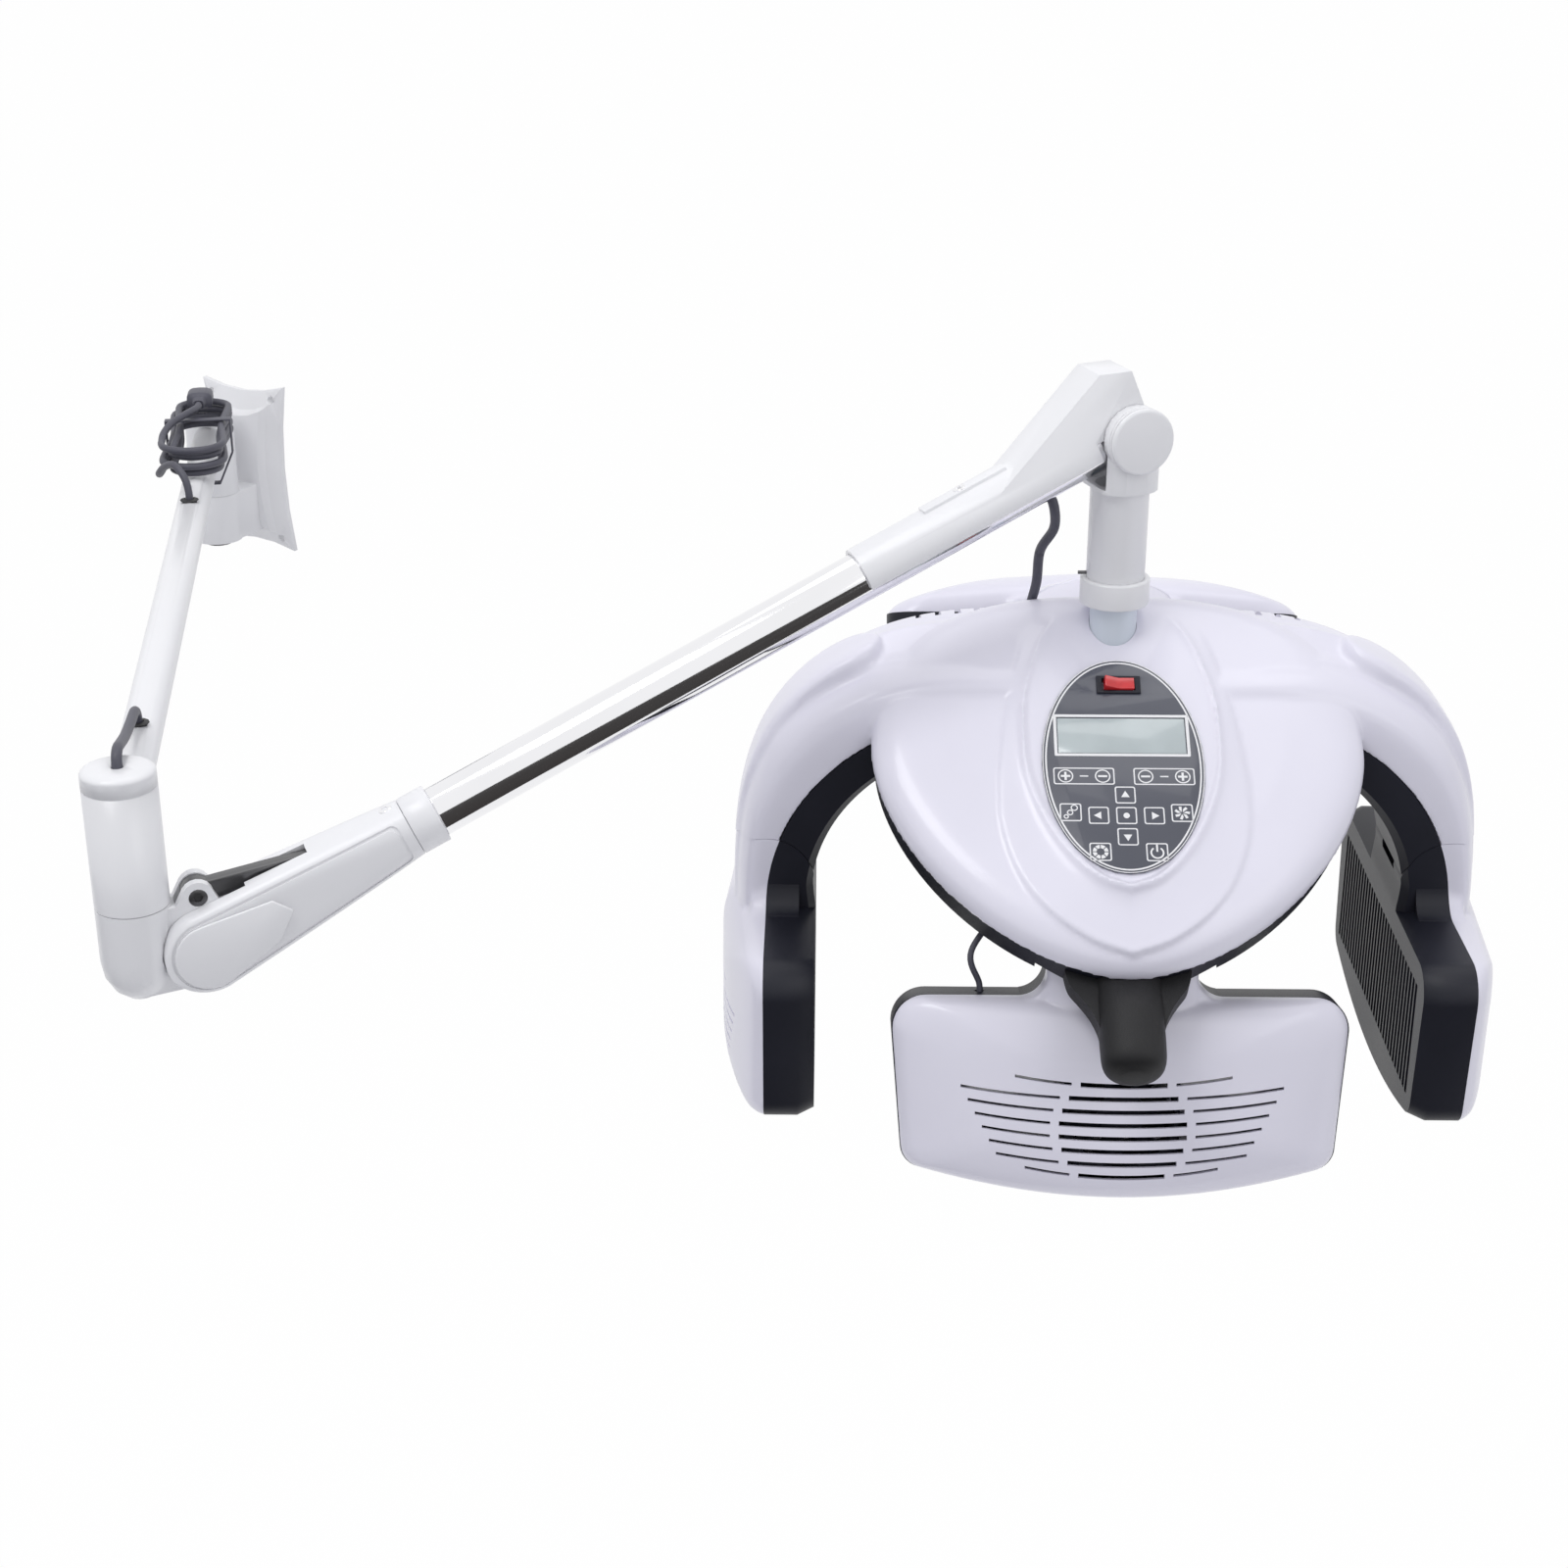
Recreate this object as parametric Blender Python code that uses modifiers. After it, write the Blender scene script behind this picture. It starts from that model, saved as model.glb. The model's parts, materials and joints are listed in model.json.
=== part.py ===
"""Wall-mounted hood dryer: a five-heater hood on a two-section wall arm.

Frame: origin at the centre of the wall plate's back face, +Y into the wall, +Z up, metres.
The chain runs wall plate, first arm, elbow, second arm, stem, hood, and four hinged heater wings.
"""
import math

import bmesh
import bpy
from mathutils import Matrix, Vector

# Fits
GAP = 0.0003            # between pieces that seat on each other
RUN = 0.0004            # between faces that turn past each other

# Wall plate
PLATE_W = 0.100
PLATE_H = 0.170
PLATE_BOW = 0.008       # how far the plate's sides draw in between its ears
PLATE_EDGE = 0.005
BOSS_W = 0.062
BOSS_H = 0.124
BOSS_DEPTH = 0.020
WALL_HOLE_R = 0.004
WALL_HOLE_X = 0.038
WALL_HOLE_Z = 0.072
SWIVEL_REACH = 0.060    # swivel axis in front of the wall

# First arm
SLEEVE_R = 0.0235
SLEEVE_BOTTOM = -0.014
SLEEVE_TOP = 0.066
SLEEVE_CAP_H = 0.009
CAP_SPIGOT = 0.006
LUG_BOTTOM = -0.063
LUG_WEB_W = 0.040
SPINDLE_R = 0.0095
BUSH_WALL = 0.0025
ARM1_LENGTH = 0.959
ARM1_YAW = math.radians(-53.5)
ARM1_R = 0.01425
ARM1_WALL = 0.002
ARM1_Z = 0.046
POST_R = 0.0245
POST_TOP = 0.0757
POST_BOTTOM = -0.0154
POST_CAP_H = 0.006

# Elbow
ARM2_YAW = math.radians(47.07)
TILT_X = 0.0445         # tilt pivot in front of the post axis
TILT_Z = -0.050
KNUCKLE_BOTTOM = -0.084
TONGUE_T = 0.024
TONGUE_R = 0.026
BOLT_BACK = 0.003       # spring bolt behind and above the tilt pivot
BOLT_RISE = 0.037
BOLT_R = 0.006
BOLT_LUG_R = 0.011
TILT_PIN_R = 0.007
ROD_T = 0.010
ROD_EYE_R = 0.0105
ROD_RISE = math.radians(9.5)

# Second arm
ARM2_LENGTH = 0.722
ARM2_RISE = math.radians(23.76)
HOUSING_W = 0.050
HOUSING_END_R = 0.0295
HOUSING_LENGTH = 0.155
HOUSING_TIP_R = 0.0198
ROD_LENGTH = HOUSING_LENGTH - 0.013
SIDE_COVER_R = 0.023
SIDE_COVER_LENGTH = 0.062
SIDE_COVER_T = 0.0025
TUBE_R = 0.0175
TUBE_WALL = 0.0015
TUBE_SOCKET = 0.027
COLLAR_R = 0.0208
COLLAR_LENGTH = 0.020
COVER_START = ARM2_LENGTH - 0.214
COVER_T = 0.003
COVER_SKIRT = -0.004    # lower edge of the saddle cover
WEDGE_START = ARM2_LENGTH - 0.110
WEDGE_APEX = ARM2_LENGTH - 0.008
WEDGE_TOP = 0.054
WEDGE_SHOULDER = 0.045
ARM2_END = 0.015        # arm beyond the head pivot
SPRING_START = HOUSING_LENGTH + 0.035
SPRING_LENGTH = 0.300

# Stem
FORK_GAP = 0.0360
EAR_T = 0.008
EAR_R = 0.0235
PIVOT_CAP_T = 0.007
HEAD_PIN_R = 0.007
STEM_R = 0.021
STEM_WALL = 0.0033
PIVOT_HEIGHT = 0.1455   # head pivot above the hood's stem seat
COLLAR2_R = 0.025
COLLAR2_LOW = 0.0195
COLLAR2_HIGH = 0.0387
INNER_STEM_R = 0.017
INNER_STEM_BORE = 0.012
INNER_STEM_TOP = 0.0905
INNER_STEM_FOOT = -0.045
HUB_SINK = 0.0195        # top of the stem's socket below its seat on the cover
HEAD_YAW = math.radians(27.0)

# Hood
DOME_Y = -0.112         # centre of the sloping face
DOME_Z = -0.071
DOME_SLOPE = math.radians(36)
DOME_HALF_W = 0.175
DOME_MID = 0.035        # widest place, up the slope from the centre
DOME_TIP = 0.178        # from the widest place down to the tip
DOME_BACK = 0.133       # from the widest place up to the rear edge
DOME_RIM = -0.030
DOME_WALL = 0.003
REAR_WALL = 0.018
CASE_TOP = DOME_RIM - DOME_WALL - GAP
CASE_DEPTH = 0.020
CASE_LOW = CASE_TOP - CASE_DEPTH
CASE_INSET = 0.0033
CASE_FLOOR = 0.003
LEAF_W = 0.084
LEAF_TIP = -0.130
LEAF_TOP = 0.152
LEAF_FLAT = 0.095       # above this the leaf sinks towards the dome's rear edge
LEAF_FALL = 3.0
PANEL_V = 0.0095          # panel's centre, up the slope from the shield's
PANEL_W = 0.113
PANEL_L = 0.174
PANEL_T = 0.0016
LCD_W = 0.090
LCD_H = 0.0295
LCD_V = PANEL_V + 0.0235
ROCKER_V = PANEL_V + 0.0655
ROCKER_FRAME_W = 0.031
ROCKER_FRAME_H = 0.0145
ROCKER_W = 0.0225
ROCKER_H = 0.0092
ROCKER_LIP = 0.0012
ROCKER_DEPTH = 0.012
ROCKER_TILT = math.radians(10)
ROCKER_PIVOT = 0.0025    # rocker's axis above the leaf's face
VENT_PITCH = 0.0145
VENT_COUNT = 6
VENT_FIRST = 0.067
VENT_W = 0.007
HANDLE_R = 0.0222
HANDLE_LENGTH = 0.074
HANDLE_DROP = math.radians(32)

# Limbs and wings
NECK_W = 0.105
LIMB_CENTRE_X = 0.090
LIMB_CENTRE_Z = -0.200
PART_RX = 0.160         # white and black halves meet on this ellipse
PART_RZ = 0.150
SPINE_RX = 0.185
SPINE_RZ = 0.200
SPINE_POWER = 2.5
LINER_T = 0.023          # black half at the hood's middle
LINER_END_T = 0.033      # and at the hinge
LIMB_LAP = 0.002        # limbs run past the middle into each other
BAND_HALF = 0.020
SPINE_BAND_HALF = 0.027  # raised band along a limb's crest
SPINE_BAND_H = 0.003
LIMB_BLEND = math.radians(54)
LIMB_PLAIN = (0.40, 0.79, 1.0)      # heights of a limb's edge, shoulder and crest, as shares
LIMB_FULL = (0.86, 1.0, 1.0)        # the same where it makes the hood's rear wall
LIMB_LOW = (0.30, 0.56, 0.72)       # and where it lies under the hood's front face
HINGE_X = 0.250
HINGE_Z = -0.182
HINGE_R = 0.035         # turning seam about the hinge axis
STUB_R = 0.006
STUB_INSET = 0.010      # stub axles stop short of the neck's sides
TONGUE2_W = 0.040
TONGUE2_R = 0.014
REAR_HINGE_Y = 0.1014
REAR_HINGE_Z = -0.0228
REAR_LEAN = math.radians(66)
FRONT_HINGE_Y = -0.158
FRONT_HINGE_Z = -0.197
FRONT_LEAN = math.radians(14)
FRONT_HINGE_R = 0.028
PADDLE_W = 0.320
PADDLE_TOP = 0.019      # shoulder below the hinge axis
PADDLE_SIDE = 0.127
PADDLE_BOTTOM = 0.162
PADDLE_TAPER = 0.007
PADDLE_CORNER = 0.024
PADDLE_FILLET = 0.020    # hollow corner between the neck and the shoulder
FILLET_LAP = 0.003
FILLET_H = 0.0115
FILLET_DRAWN = 0.7       # the shell's webs draw in to this share at their tops
PADDLE_CROWN = 0.034
PADDLE_ARCH = 0.021      # fall of the crown from the middle to the paddle's ends
PADDLE_MID = 0.088      # centre that the crown's rings draw in to
SHELL_WALL = 0.003
TRAY_DEPTH = 0.036
TRAY_BEVEL = 0.012
WINDOW_W = 0.262
WINDOW_H = 0.088
WINDOW_MID = 0.084
GRILLE_BARS = 15
GRILLE_BAR_W = 0.0045
REFLECTOR_T = 0.001
REFLECTOR_DEPTH = 0.022
REFLECTOR_LIP = 0.004
LAMP_R = 0.006
LAMP_END_R = 0.0085
LAMP_END_L = 0.012
CENTRE_W = 0.150
CENTRE_V = -0.010
CENTRE_BARS = 8
FAN_SIZE = 0.080
FAN_T = 0.020
FAN_MID = 0.098
FAN_FACE = 0.0242
FAN_BORE_R = 0.0375
FAN_HUB_R = 0.017
FAN_BLADES = 7
FAN_TIP_GAP = 0.0015
FAN_POST_R = 0.004
SLOT_PITCH = 0.0094
SLOT_H = 0.0036
SIDE_SLOT_H = 0.0022
SLOT_MID = FAN_MID + 0.004
SLOT_ROUND_R = 0.0445   # the long slots end on this circle over the fan
SLOT_GAP = 0.006        # between a long slot and the short ones beside it
SLOT_REACH = (0.075, 0.112, 0.107, 0.102, 0.097, 0.092, 0.087, 0.067)

# Cords
CORD_R = 0.0033
LEAD_R = 0.0036
THIN_LEAD_R = 0.0022
HANK_X = 0.125
HANK_RUN = 0.065        # half the length of a straight run
HANK_FOLD_R = 0.0200
HANK_STEP = 0.0090
HANK_WAIST = 0.16
HANK_LAYER = 0.0074
HANK_LAYERS = 4
LOOP_POINTS = 24
HANK_CLIMB = 0.2        # share of a loop over which it climbs a layer
PLUG_L = 0.036
PLUG_W = 0.024
PLUG_H = 0.017
PLUG_PIN_R = 0.0024
PLUG_PIN_L = 0.018
PLUG_PIN_PITCH = 0.014
GROMMET_R = 0.0062
GROMMET_LIP = 0.0015
ELBOW_CABLE_X = 0.131   # cable hole in the first arm, back from the post axis
MAINS_HOLE_X = 0.285
HEAD_LEAD_X = 0.061     # lead's hole in the second arm, level distance from the head pivot
TIE_W = 0.010
TIE_T = 0.0015

HEAD_LEAD_END = (-0.0565, 0.041, -0.002)
HEAD_LEAD_MIDDLE = (-0.046, 0.030, -0.092)
FRONT_LEAD_CASE = (-0.078, -0.062)
FRONT_LEAD_WING = (-0.098, -0.012, 0.026)

PARTS = "hood_dryer"
TOOLS = "cutters"


def start():
    """Empty the scene and make the two collections."""
    for item in list(bpy.data.objects):
        bpy.data.objects.remove(item, do_unlink=True)
    for name in (PARTS, TOOLS):
        group = bpy.data.collections.new(name)
        bpy.context.scene.collection.children.link(group)


def material(name, colour, roughness, metallic=0.0):
    made = bpy.data.materials.new(name)
    made.use_nodes = True
    shader = made.node_tree.nodes["Principled BSDF"]
    shader.inputs["Base Color"].default_value = (*colour, 1.0)
    shader.inputs["Roughness"].default_value = roughness
    shader.inputs["Metallic"].default_value = metallic
    return made


def joint_empty(name, parent, location, rotation=(0.0, 0.0, 0.0)):
    axis = bpy.data.objects.new(name, None)
    axis.empty_display_size = 0.03
    axis.parent = parent
    axis.location = location
    axis.rotation_euler = rotation
    bpy.data.collections[PARTS].objects.link(axis)
    return axis


def part(name, mesh, parent, finish, location=(0.0, 0.0, 0.0), rotation=(0.0, 0.0, 0.0)):
    """Place a mesh as one named piece under its joint's empty."""
    bm = bmesh.new()
    bm.from_mesh(mesh)
    bmesh.ops.triangulate(bm, faces=bm.faces)
    bm.to_mesh(mesh)
    bm.free()
    mesh.materials.clear()
    mesh.materials.append(finish)
    mesh.shade_smooth()
    mesh.set_sharp_from_angle(angle=math.radians(35))
    piece = bpy.data.objects.new(name, mesh)
    piece.parent = parent
    piece.location = location
    piece.rotation_euler = rotation
    bpy.data.collections[PARTS].objects.link(piece)
    return piece


def finished(bm):
    bmesh.ops.recalc_face_normals(bm, faces=bm.faces)
    if bm.calc_volume(signed=True) < 0:
        bmesh.ops.reverse_faces(bm, faces=bm.faces)
    mesh = bpy.data.meshes.new("shape")
    bm.to_mesh(mesh)
    bm.free()
    return mesh


def read_mesh(source):
    """The evaluated mesh of a construction object, welded, with the object removed."""
    graph = bpy.context.evaluated_depsgraph_get()
    mesh = bpy.data.meshes.new_from_object(source.evaluated_get(graph), depsgraph=graph)
    bpy.data.objects.remove(source, do_unlink=True)
    bm = bmesh.new()
    bm.from_mesh(mesh)
    bmesh.ops.remove_doubles(bm, verts=bm.verts, dist=0.000005)
    bmesh.ops.dissolve_degenerate(bm, edges=bm.edges, dist=0.000005)
    return finished(bm)


def scratch(data):
    source = bpy.data.objects.new("scratch", data)
    source.hide_render = True
    source.display_type = 'WIRE'
    bpy.data.collections[TOOLS].objects.link(source)
    return source


def boolean(operation, body, tools):
    """Body joined with, cut by or kept inside each tool in turn, all in one frame."""
    host = scratch(body)
    others = [scratch(tool) for tool in tools]
    for other in others:
        step = host.modifiers.new("step", 'BOOLEAN')
        step.operation = operation
        step.solver = 'EXACT'
        step.object = other
    mesh = read_mesh(host)
    for other in others:
        bpy.data.objects.remove(other, do_unlink=True)
    return mesh


def cut(body, *tools):
    return boolean('DIFFERENCE', body, tools)


def join(body, *tools):
    return boolean('UNION', body, tools)


def keep(body, *tools):
    return boolean('INTERSECT', body, tools)


def group(*meshes):
    """Several separate solids as one mesh."""
    bm = bmesh.new()
    for mesh in meshes:
        bm.from_mesh(mesh)
    return finished(bm)


def placed(mesh, *matrices):
    """A copy of a mesh with the matrices applied, the first one first."""
    copy = mesh.copy()
    for matrix in matrices:
        copy.transform(matrix)
        if matrix.determinant() < 0:
            copy.flip_normals()
    copy.update()
    return copy


def shift(x=0.0, y=0.0, z=0.0):
    return Matrix.Translation((x, y, z))


def turn(angle, axis):
    return Matrix.Rotation(angle, 4, axis)


TO_X = turn(math.radians(90), 'Y')
TO_Y = turn(math.radians(-90), 'X')
MIRROR_X = Matrix.Scale(-1, 4, (1, 0, 0))
MIRROR_Y = Matrix.Scale(-1, 4, (0, 1, 0))
CYCLE = Matrix(((0, 0, 1, 0), (1, 0, 0, 0), (0, 1, 0, 0), (0, 0, 0, 1)))


def box(x, y, z):
    """Box from (low, high) pairs."""
    bm = bmesh.new()
    bmesh.ops.create_cube(bm, size=1.0)
    for vert in bm.verts:
        for k, (low, high) in enumerate((x, y, z)):
            vert.co[k] = low if vert.co[k] < 0 else high
    return finished(bm)


def rod(radius, low, high, sides=20):
    """Solid cylinder along Z."""
    bm = bmesh.new()
    bmesh.ops.create_cone(bm, cap_ends=True, segments=sides, radius1=radius, radius2=radius,
                          depth=high - low)
    bmesh.ops.translate(bm, verts=bm.verts, vec=(0, 0, (low + high) / 2))
    return finished(bm)


def turned(profile, sides=20, hollow=False):
    """Profile of (radius, height) points, outer side first and top to bottom, turned about Z."""
    mesh = bpy.data.meshes.new("profile")
    count = len(profile)
    edges = [(k, k + 1) for k in range(count - 1)]
    if hollow:
        edges.append((count - 1, 0))
    mesh.from_pydata([(r, 0.0, z) for r, z in profile], edges, [])
    source = scratch(mesh)
    screw = source.modifiers.new("turn", 'SCREW')
    screw.steps = sides
    screw.render_steps = sides
    screw.use_merge_vertices = True
    screw.merge_threshold = 0.00001
    return read_mesh(source)


def ring(outer, inner, low, high, sides=20):
    return turned([(outer, high), (outer, low), (inner, low), (inner, high)], sides, hollow=True)


def plate(outline, low, high, holes=()):
    """Flat outline in XY, with holes, from low to high along Z."""
    curve = bpy.data.curves.new("outline", 'CURVE')
    curve.dimensions = '2D'
    curve.fill_mode = 'BOTH'
    curve.extrude = (high - low) / 2
    for points in (outline, *holes):
        spline = curve.splines.new('POLY')
        spline.points.add(len(points) - 1)
        for point, (x, y) in zip(spline.points, points):
            point.co = (x, y, 0.0, 1.0)
        spline.use_cyclic_u = True
    return placed(read_mesh(scratch(curve)), shift(z=(low + high) / 2))


def loft(rings):
    """Closed solid through rings of equal point counts, capped at both ends."""
    bm = bmesh.new()
    rows = [[bm.verts.new(point) for point in points] for points in rings]
    count = len(rows[0])
    for row, after in zip(rows, rows[1:]):
        for k in range(count):
            nxt = (k + 1) % count
            bm.faces.new((row[k], row[nxt], after[nxt], after[k]))
    bm.faces.new(rows[0])
    bm.faces.new(rows[-1])
    return finished(bm)


def arc(cx, cy, rx, ry, first, last, steps):
    """Points on an ellipse's arc, angles in degrees, both ends included."""
    angles = [math.radians(first + (last - first) * k / steps) for k in range(steps + 1)]
    return [(cx + rx * math.cos(a), cy + ry * math.sin(a)) for a in angles]


def rectangle(cx, cy, width, height):
    x = width / 2
    y = height / 2
    return [(cx - x, cy - y), (cx + x, cy - y), (cx + x, cy + y), (cx - x, cy + y)]


def smooth_path(points, step):
    """Points about a step apart on a smooth curve through a cord's own points."""
    knots = [Vector(p) for p in points]
    ends = [2 * knots[0] - knots[1], *knots, 2 * knots[-1] - knots[-2]]
    path = []
    for a, b, c, d in zip(ends, ends[1:], ends[2:], ends[3:]):
        count = max(1, round((c - b).length / step))
        for k in range(count):
            t = k / count
            path.append(0.5 * (2 * b + (c - a) * t + (2 * a - 5 * b + 4 * c - d) * t * t
                               + (3 * b - a - 3 * c + d) * t ** 3))
    path.append(knots[-1])
    return path


def cord(points, radius, resolution):
    """Round cord along points, with filled ends."""
    curve = bpy.data.curves.new("cord", 'CURVE')
    curve.dimensions = '3D'
    curve.bevel_depth = radius
    curve.bevel_resolution = resolution
    curve.use_fill_caps = True
    spline = curve.splines.new('POLY')
    spline.points.add(len(points) - 1)
    for point, place in zip(spline.points, points):
        point.co = (*place, 1.0)
    return read_mesh(scratch(curve))


def superellipse(half_w, half_h, power, count):
    points = []
    for k in range(count):
        a = 2 * math.pi * k / count
        c, s = math.cos(a), math.sin(a)
        points.append((half_w * math.copysign(abs(c) ** (2 / power), c),
                       half_h * math.copysign(abs(s) ** (2 / power), s)))
    return points


# Wall plate, first arm and the mains cord on it

def pincushion(width, height, bow, steps=4):
    """Rectangle in XZ whose sides draw in between its corners, one side after another."""
    points = []
    for side in range(4):
        for k in range(steps):
            s = 2 * k / steps - 1
            dip = bow * (1 - s * s)
            points.append(((s * width / 2, height / 2 - dip), (width / 2 - dip, -s * height / 2),
                           (-s * width / 2, dip - height / 2), (dip - width / 2, s * height / 2))[side])
    return points


def wall_plate():
    """Flared plate with a raised boss and the lug that carries the swivel pin."""
    stages = ((0.0, PLATE_W, PLATE_H), (-PLATE_EDGE, PLATE_W, PLATE_H),
              (-0.6 * BOSS_DEPTH, (PLATE_W + BOSS_W) / 2.3, (PLATE_H + BOSS_H) / 2.2),
              (-BOSS_DEPTH, BOSS_W, BOSS_H))
    rings = [[(x, y, z) for x, z in pincushion(w, h, PLATE_BOW)] for y, w, h in stages]
    lug_top = SLEEVE_BOTTOM - RUN
    lug = placed(rod(SLEEVE_R, LUG_BOTTOM, lug_top, 20), shift(y=-SWIVEL_REACH))
    web = box((-LUG_WEB_W / 2, LUG_WEB_W / 2), (-SWIVEL_REACH, -BOSS_DEPTH / 2), (LUG_BOTTOM, lug_top))
    body = join(loft(rings), lug, web)
    bore = placed(rod(SPINDLE_R + GAP, LUG_BOTTOM - GAP, SLEEVE_TOP, 20), shift(y=-SWIVEL_REACH))
    holes = [placed(rod(WALL_HOLE_R, -PLATE_W, PLATE_W, 12), TO_Y, shift(x, 0, z))
             for x in (-WALL_HOLE_X, WALL_HOLE_X) for z in (-WALL_HOLE_Z, WALL_HOLE_Z)]
    return cut(body, bore, *holes)


def headed_pin(radius, low, high, head_r, head_t, sides=20):
    """Pin along Z with a flat head under it."""
    return turned([(0, high), (radius, high), (radius, low), (head_r, low), (head_r, low - head_t),
                   (0, low - head_t)], sides)


def bush(low, high):
    """Plain bearing of the swivel or the elbow."""
    return ring(SPINDLE_R + GAP + BUSH_WALL, SPINDLE_R + GAP, low + GAP, high, 20)


def swivel_sleeve():
    return ring(SLEEVE_R, SPINDLE_R + BUSH_WALL + 2 * GAP, SLEEVE_BOTTOM, SLEEVE_TOP, 20)


def elbow_post():
    """Bored post with a low domed top and the lead's hole in it."""
    top = POST_TOP + POST_CAP_H
    bore = SPINDLE_R + BUSH_WALL + 2 * GAP
    hole = LEAD_R + GAP
    return turned([(hole, top), (POST_R * 0.80, top), (POST_R * 0.95, top - POST_CAP_H * 0.22),
                   (POST_R, top - POST_CAP_H * 0.5), (POST_R, POST_BOTTOM), (bore, POST_BOTTOM),
                   (bore, POST_TOP - 0.008), (hole, POST_TOP - 0.008)], 20, hollow=True)


def swivel_cap():
    """Low domed cap whose spigot sits in the sleeve's bore."""
    spigot = SPINDLE_R + BUSH_WALL + GAP
    low = SLEEVE_TOP + GAP
    top = SLEEVE_TOP + SLEEVE_CAP_H
    return turned([(0, top), (SLEEVE_R * 0.80, top), (SLEEVE_R * 0.95, top - SLEEVE_CAP_H * 0.22),
                   (SLEEVE_R, top - SLEEVE_CAP_H * 0.5), (SLEEVE_R, low), (spigot, low), (spigot, low - CAP_SPIGOT),
                   (0, low - CAP_SPIGOT)], 20)


def first_arm_tube():
    start_x = SLEEVE_R * 0.5
    end_x = ARM1_LENGTH - POST_R * 0.5
    tube = placed(ring(ARM1_R, ARM1_R - ARM1_WALL, start_x, end_x, 20), TO_X, shift(z=ARM1_Z))
    sleeve = rod(SLEEVE_R + GAP, -1, 1, 20)
    post = placed(rod(POST_R + GAP, -1, 1, 20), shift(x=ARM1_LENGTH))
    drill = rod(GROMMET_R + GAP, ARM1_Z, 1, 16)
    holes = [placed(drill, shift(x=x)) for x in (ARM1_LENGTH - ELBOW_CABLE_X, MAINS_HOLE_X)]
    return cut(tube, sleeve, post, *holes)


def grommet(lead_r):
    """Lipped rubber ring for a cord hole in the first arm's wall."""
    top = ARM1_Z + ARM1_R + GAP
    lip = GROMMET_R + 0.002
    bore = lead_r + GAP
    low = ARM1_Z + ARM1_R - ARM1_WALL
    return turned([(bore + 0.0006, top + GROMMET_LIP), (lip, top + GROMMET_LIP * 0.5), (lip, top),
                   (GROMMET_R, top), (GROMMET_R, low), (bore, low)], 12, hollow=True)


def elbow_cable_points():
    """Out of the arm, over in a short bow and down through the post cap."""
    start_x = ARM1_LENGTH - ELBOW_CABLE_X
    top = ARM1_Z + ARM1_R
    return ((start_x, 0, top - 0.006), (start_x, 0, top + 0.006), (start_x + 0.006, 0, top + 0.020),
            (start_x + 0.024, 0, top + 0.033), (start_x + 0.052, 0, top + 0.042),
            (start_x + 0.084, 0, top + 0.046), (start_x + 0.112, 0, top + 0.043),
            (start_x + 0.127, 0, top + 0.033), (ARM1_LENGTH, 0, POST_TOP + POST_CAP_H + 0.004),
            (ARM1_LENGTH, 0, POST_TOP - 0.006))


def hank_loop(first_r, last_r):
    """One long loop of the hank: runs of five points, folds of seven, drawn in at the waist."""
    points = []
    for k in range(LOOP_POINTS):
        share = k / LOOP_POINTS
        radius = first_r + (last_r - first_r) * share
        at = k % 12
        side = -1 if k < 12 else 1
        if at < 5:
            x = HANK_RUN * (1 - 2 * at / 5)
            y = radius * (1 - HANK_WAIST * math.cos(math.pi * x / (2 * HANK_RUN)) ** 2)
        else:
            a = math.pi * (at - 5) / 7
            x = -HANK_RUN - radius * math.sin(a)
            y = radius * math.cos(a)
        points.append((-side * x, side * y, share))
    return points


def hank_points():
    """Lead-in from the arm's hole, the layers of the hank, and the plug's end."""
    top = ARM1_Z + ARM1_R
    base = top + GAP + CORD_R + 0.0010
    narrow = HANK_FOLD_R
    wide = HANK_FOLD_R + HANK_STEP
    loops = []
    for layer in range(HANK_LAYERS):
        first_r, last_r = (wide, narrow) if layer % 2 == 0 else (narrow, wide)
        for x, y, share in hank_loop(first_r, last_r):
            level = layer if layer == 0 else layer - 1 + min(1.0, share / HANK_CLIMB)
            loops.append((HANK_X + x, y, base + HANK_LAYER * level))
    last = base + HANK_LAYER * (HANK_LAYERS - 1)
    run_end = HANK_X + HANK_RUN
    lead_in = [(MAINS_HOLE_X, 0, top - 0.006), (MAINS_HOLE_X, 0, top + 0.008),
               (MAINS_HOLE_X - 0.004, -0.003, top + 0.020), (MAINS_HOLE_X - 0.017, -0.012, top + 0.028),
               (MAINS_HOLE_X - 0.035, -0.022, top + 0.022), (MAINS_HOLE_X - 0.053, -wide, top + 0.0115),
               (MAINS_HOLE_X - 0.073, -wide - 0.0015, base + 0.0007)]
    plug_z = last + CORD_R + PLUG_H / 2 + 0.001
    lead_out = [(run_end, -wide, last), (run_end - 0.008, -wide - 0.0002, last + 0.0006),
                (run_end - 0.022, -wide + 0.0005, last + 0.0035), (run_end - 0.038, -wide + 0.0065, last + 0.0085),
                (HANK_X + 0.007, -0.010, plug_z - 0.0006), (HANK_X - 0.013, -0.001, plug_z),
                (HANK_X - 0.025, 0.0, plug_z)]
    return [*lead_in, *loops, *lead_out], plug_z


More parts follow.
